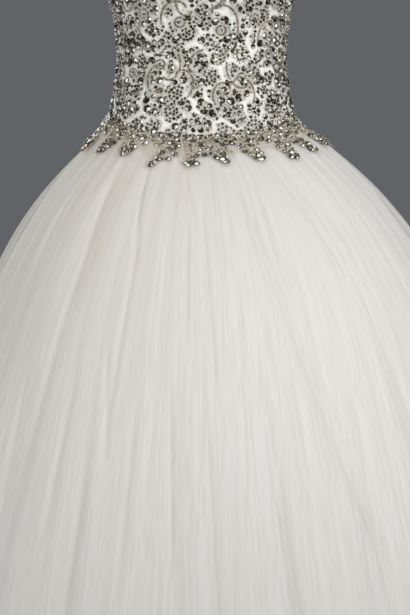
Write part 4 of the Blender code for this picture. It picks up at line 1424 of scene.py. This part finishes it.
def seed_beads(name, stones, surface, look):
    stones = np.array(stones)
    set_beads(name, stones[:, :2], stones[:, 0] * 900, stones[:, 2:] * (1, 1, 0.9), surface, look)


cord_beads("bead_cords", cord_lines, inside_bodice, on_bodice, old_silver)
cord_beads("applique_bead_cords", net_lines, on_the_net, on_net, old_gold)
seed_beads("seed_beads", seeds, on_bodice, old_silver)
seed_beads("applique_seed_beads", net_seeds, on_net, champagne)

# ---------------------------------------------------------------- the zip
# A metal zip of ivory woven tape behind the back panels' edges. Its slider stands closed near the
# top, and its leaf-shaped pull hangs from a pin.

tape = woven_look(
    "zip_tape_weave",
    (0.66, 0.64, 0.58),
    (0.76, 0.74, 0.68),
    threads=1100.0,
    slub=50.0,
    bump=0.0002,
    roughness=0.75,
)


def clouded(look, tree, shader, scale, detail, dark, light):
    """A plain finish that drifts between two shades of grey."""
    place = node(tree, "ShaderNodeTexCoord").outputs["Object"]
    shades = ramp(tree, noise(tree, place, scale, detail), (0.3, dark), (0.7, light))
    tree.links.new(shades, shader.inputs["Base Color"])
    return look


brushed = new_look("bright_nickel", 0.22, metallic=1.0)
nickel = clouded(*brushed, 900.0, 4.0, (0.60, 0.60, 0.60), (0.80, 0.80, 0.81))
for name, look in (("zip_tape", tape), ("zip_slider", nickel), ("zip_pull", nickel)):
    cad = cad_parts[name]
    cad.data.materials.clear()
    cad.data.materials.append(look)

# The teeth stand on the tape, in the opening between the panels, up to the slider
TOOTH_PITCH = 0.0014
TOOTH_HALF = (0.00095, 0.00046, 0.0017)
TOOTH_STAGGER = 0.0001
TAPE_DEPTH = 0.0027
ZIP_FOOT, SLIDER_FOOT = 0.008, 0.1425  # over the waist seam, and over the waist
CORNERS = ((-1, -1), (1, -1), (1, 1), (-1, 1))


def tooth_mesh(name):
    low = [(x, y, 0.0) for x, y in CORNERS]
    high = [(0.8 * x, 0.7 * y, 1.0) for x, y in CORNERS]
    sides = [(i, (i + 1) % 4, (i + 1) % 4 + 4, i + 4) for i in range(4)]
    return pattern(name, low + high, [(4, 5, 6, 7), *sides])


tooth = tooth_mesh("tooth")
height = np.arange(float(seam_height(180)) + ZIP_FOOT, SLIDER_FOOT, TOOTH_PITCH)
points = body(180, height) - body_out(180, height) * TAPE_DEPTH
points[:, 0] += TOOTH_STAGGER * (-1) ** np.arange(len(height))
size = np.tile(TOOTH_HALF, (len(height), 1))
piece = place_on("zip_teeth", points, body_out(180, height), size, 0 * height, 0 * height, tooth, nickel)
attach(piece, "dress")

# ---------------------------------------------------------------- floor, light and camera
# A plain pale floor under the hem, soft studio light from the front right, and the camera level
# with the hips.

VIEW_DISTANCE = 4.0
VIEW_HEIGHT = 0.945
VIEW_CENTRE = (0.0054, 0.0, -0.380)
CAMERA_AT = (0.0054, -VIEW_DISTANCE, -0.150)
FLOOR, FLOOR_CLEAR = 16.0, 0.004

floor_mesh = bpy.data.meshes.new("floor")
floor_mesh.from_pydata([(x * FLOOR, y * FLOOR, HEM - FLOOR_CLEAR) for x, y in CORNERS], [], [(0, 1, 2, 3)])
pale = clouded(*new_look("pale_floor", 0.7), 1.5, 2.0, (0.39, 0.39, 0.39), (0.43, 0.43, 0.43))
floor_mesh.materials.append(pale)
linked("floor", floor_mesh)


def turned_to(place, target):
    return (Vector(target) - Vector(place)).to_track_quat("-Z", "Y").to_euler()


def soft_light(name, place, target, size, power, spread=180):
    data = bpy.data.lights.new(name, "AREA")
    data.shape, data.size, data.energy = "DISK", size, power
    data.spread = math.radians(spread)
    made = linked(name, data)
    made.location, made.rotation_euler = place, turned_to(place, target)
    made.visible_camera = False


soft_light("key", (1.4, -2.1, 0.10), (0.10, 0.0, -0.20), 1.5, 5.35, 58)
soft_light("fill", (-1.8, -2.2, 0.1), (-0.14, 0.0, -0.26), 2.0, 3.9, 61)
soft_light("top", (0.3, 0.2, 3.0), (0, 0, -0.35), 2.0, 4)
soft_light("back", (-1.5, 3.4, 1.6), (0, 0, -0.35), 2.0, 50)

# The studio lights the dress more than its own grey wall shows
world = bpy.data.worlds.new("studio")
bpy.context.scene.world = world
world.use_nodes = True
tree = world.node_tree
tree.nodes.clear()
seen = node(tree, "ShaderNodeBackground", {"Color": (0.120, 0.126, 0.135, 1), "Strength": 1.0}).outputs[0]
lit = node(tree, "ShaderNodeBackground", {"Color": (0.465, 0.475, 0.485, 1), "Strength": 1.0}).outputs[0]
is_seen = node(tree, "ShaderNodeLightPath").outputs["Is Camera Ray"]
studio = node(tree, "ShaderNodeMixShader", {0: is_seen, 1: lit, 2: seen}).outputs[0]
node(tree, "ShaderNodeOutputWorld", {"Surface": studio})

camera_data = bpy.data.cameras.new("camera")
camera_data.lens = camera_data.sensor_width * VIEW_DISTANCE / VIEW_HEIGHT
camera_data.clip_end = 50
camera = linked("camera", camera_data)
camera.location, camera.rotation_euler = CAMERA_AT, turned_to(CAMERA_AT, VIEW_CENTRE)
bpy.context.scene.camera = camera
bpy.context.scene.view_settings.view_transform = "Standard"

for helper in (stone_large, stone_middle, stone_small, bead, tooth):
    bpy.data.objects.remove(helper)
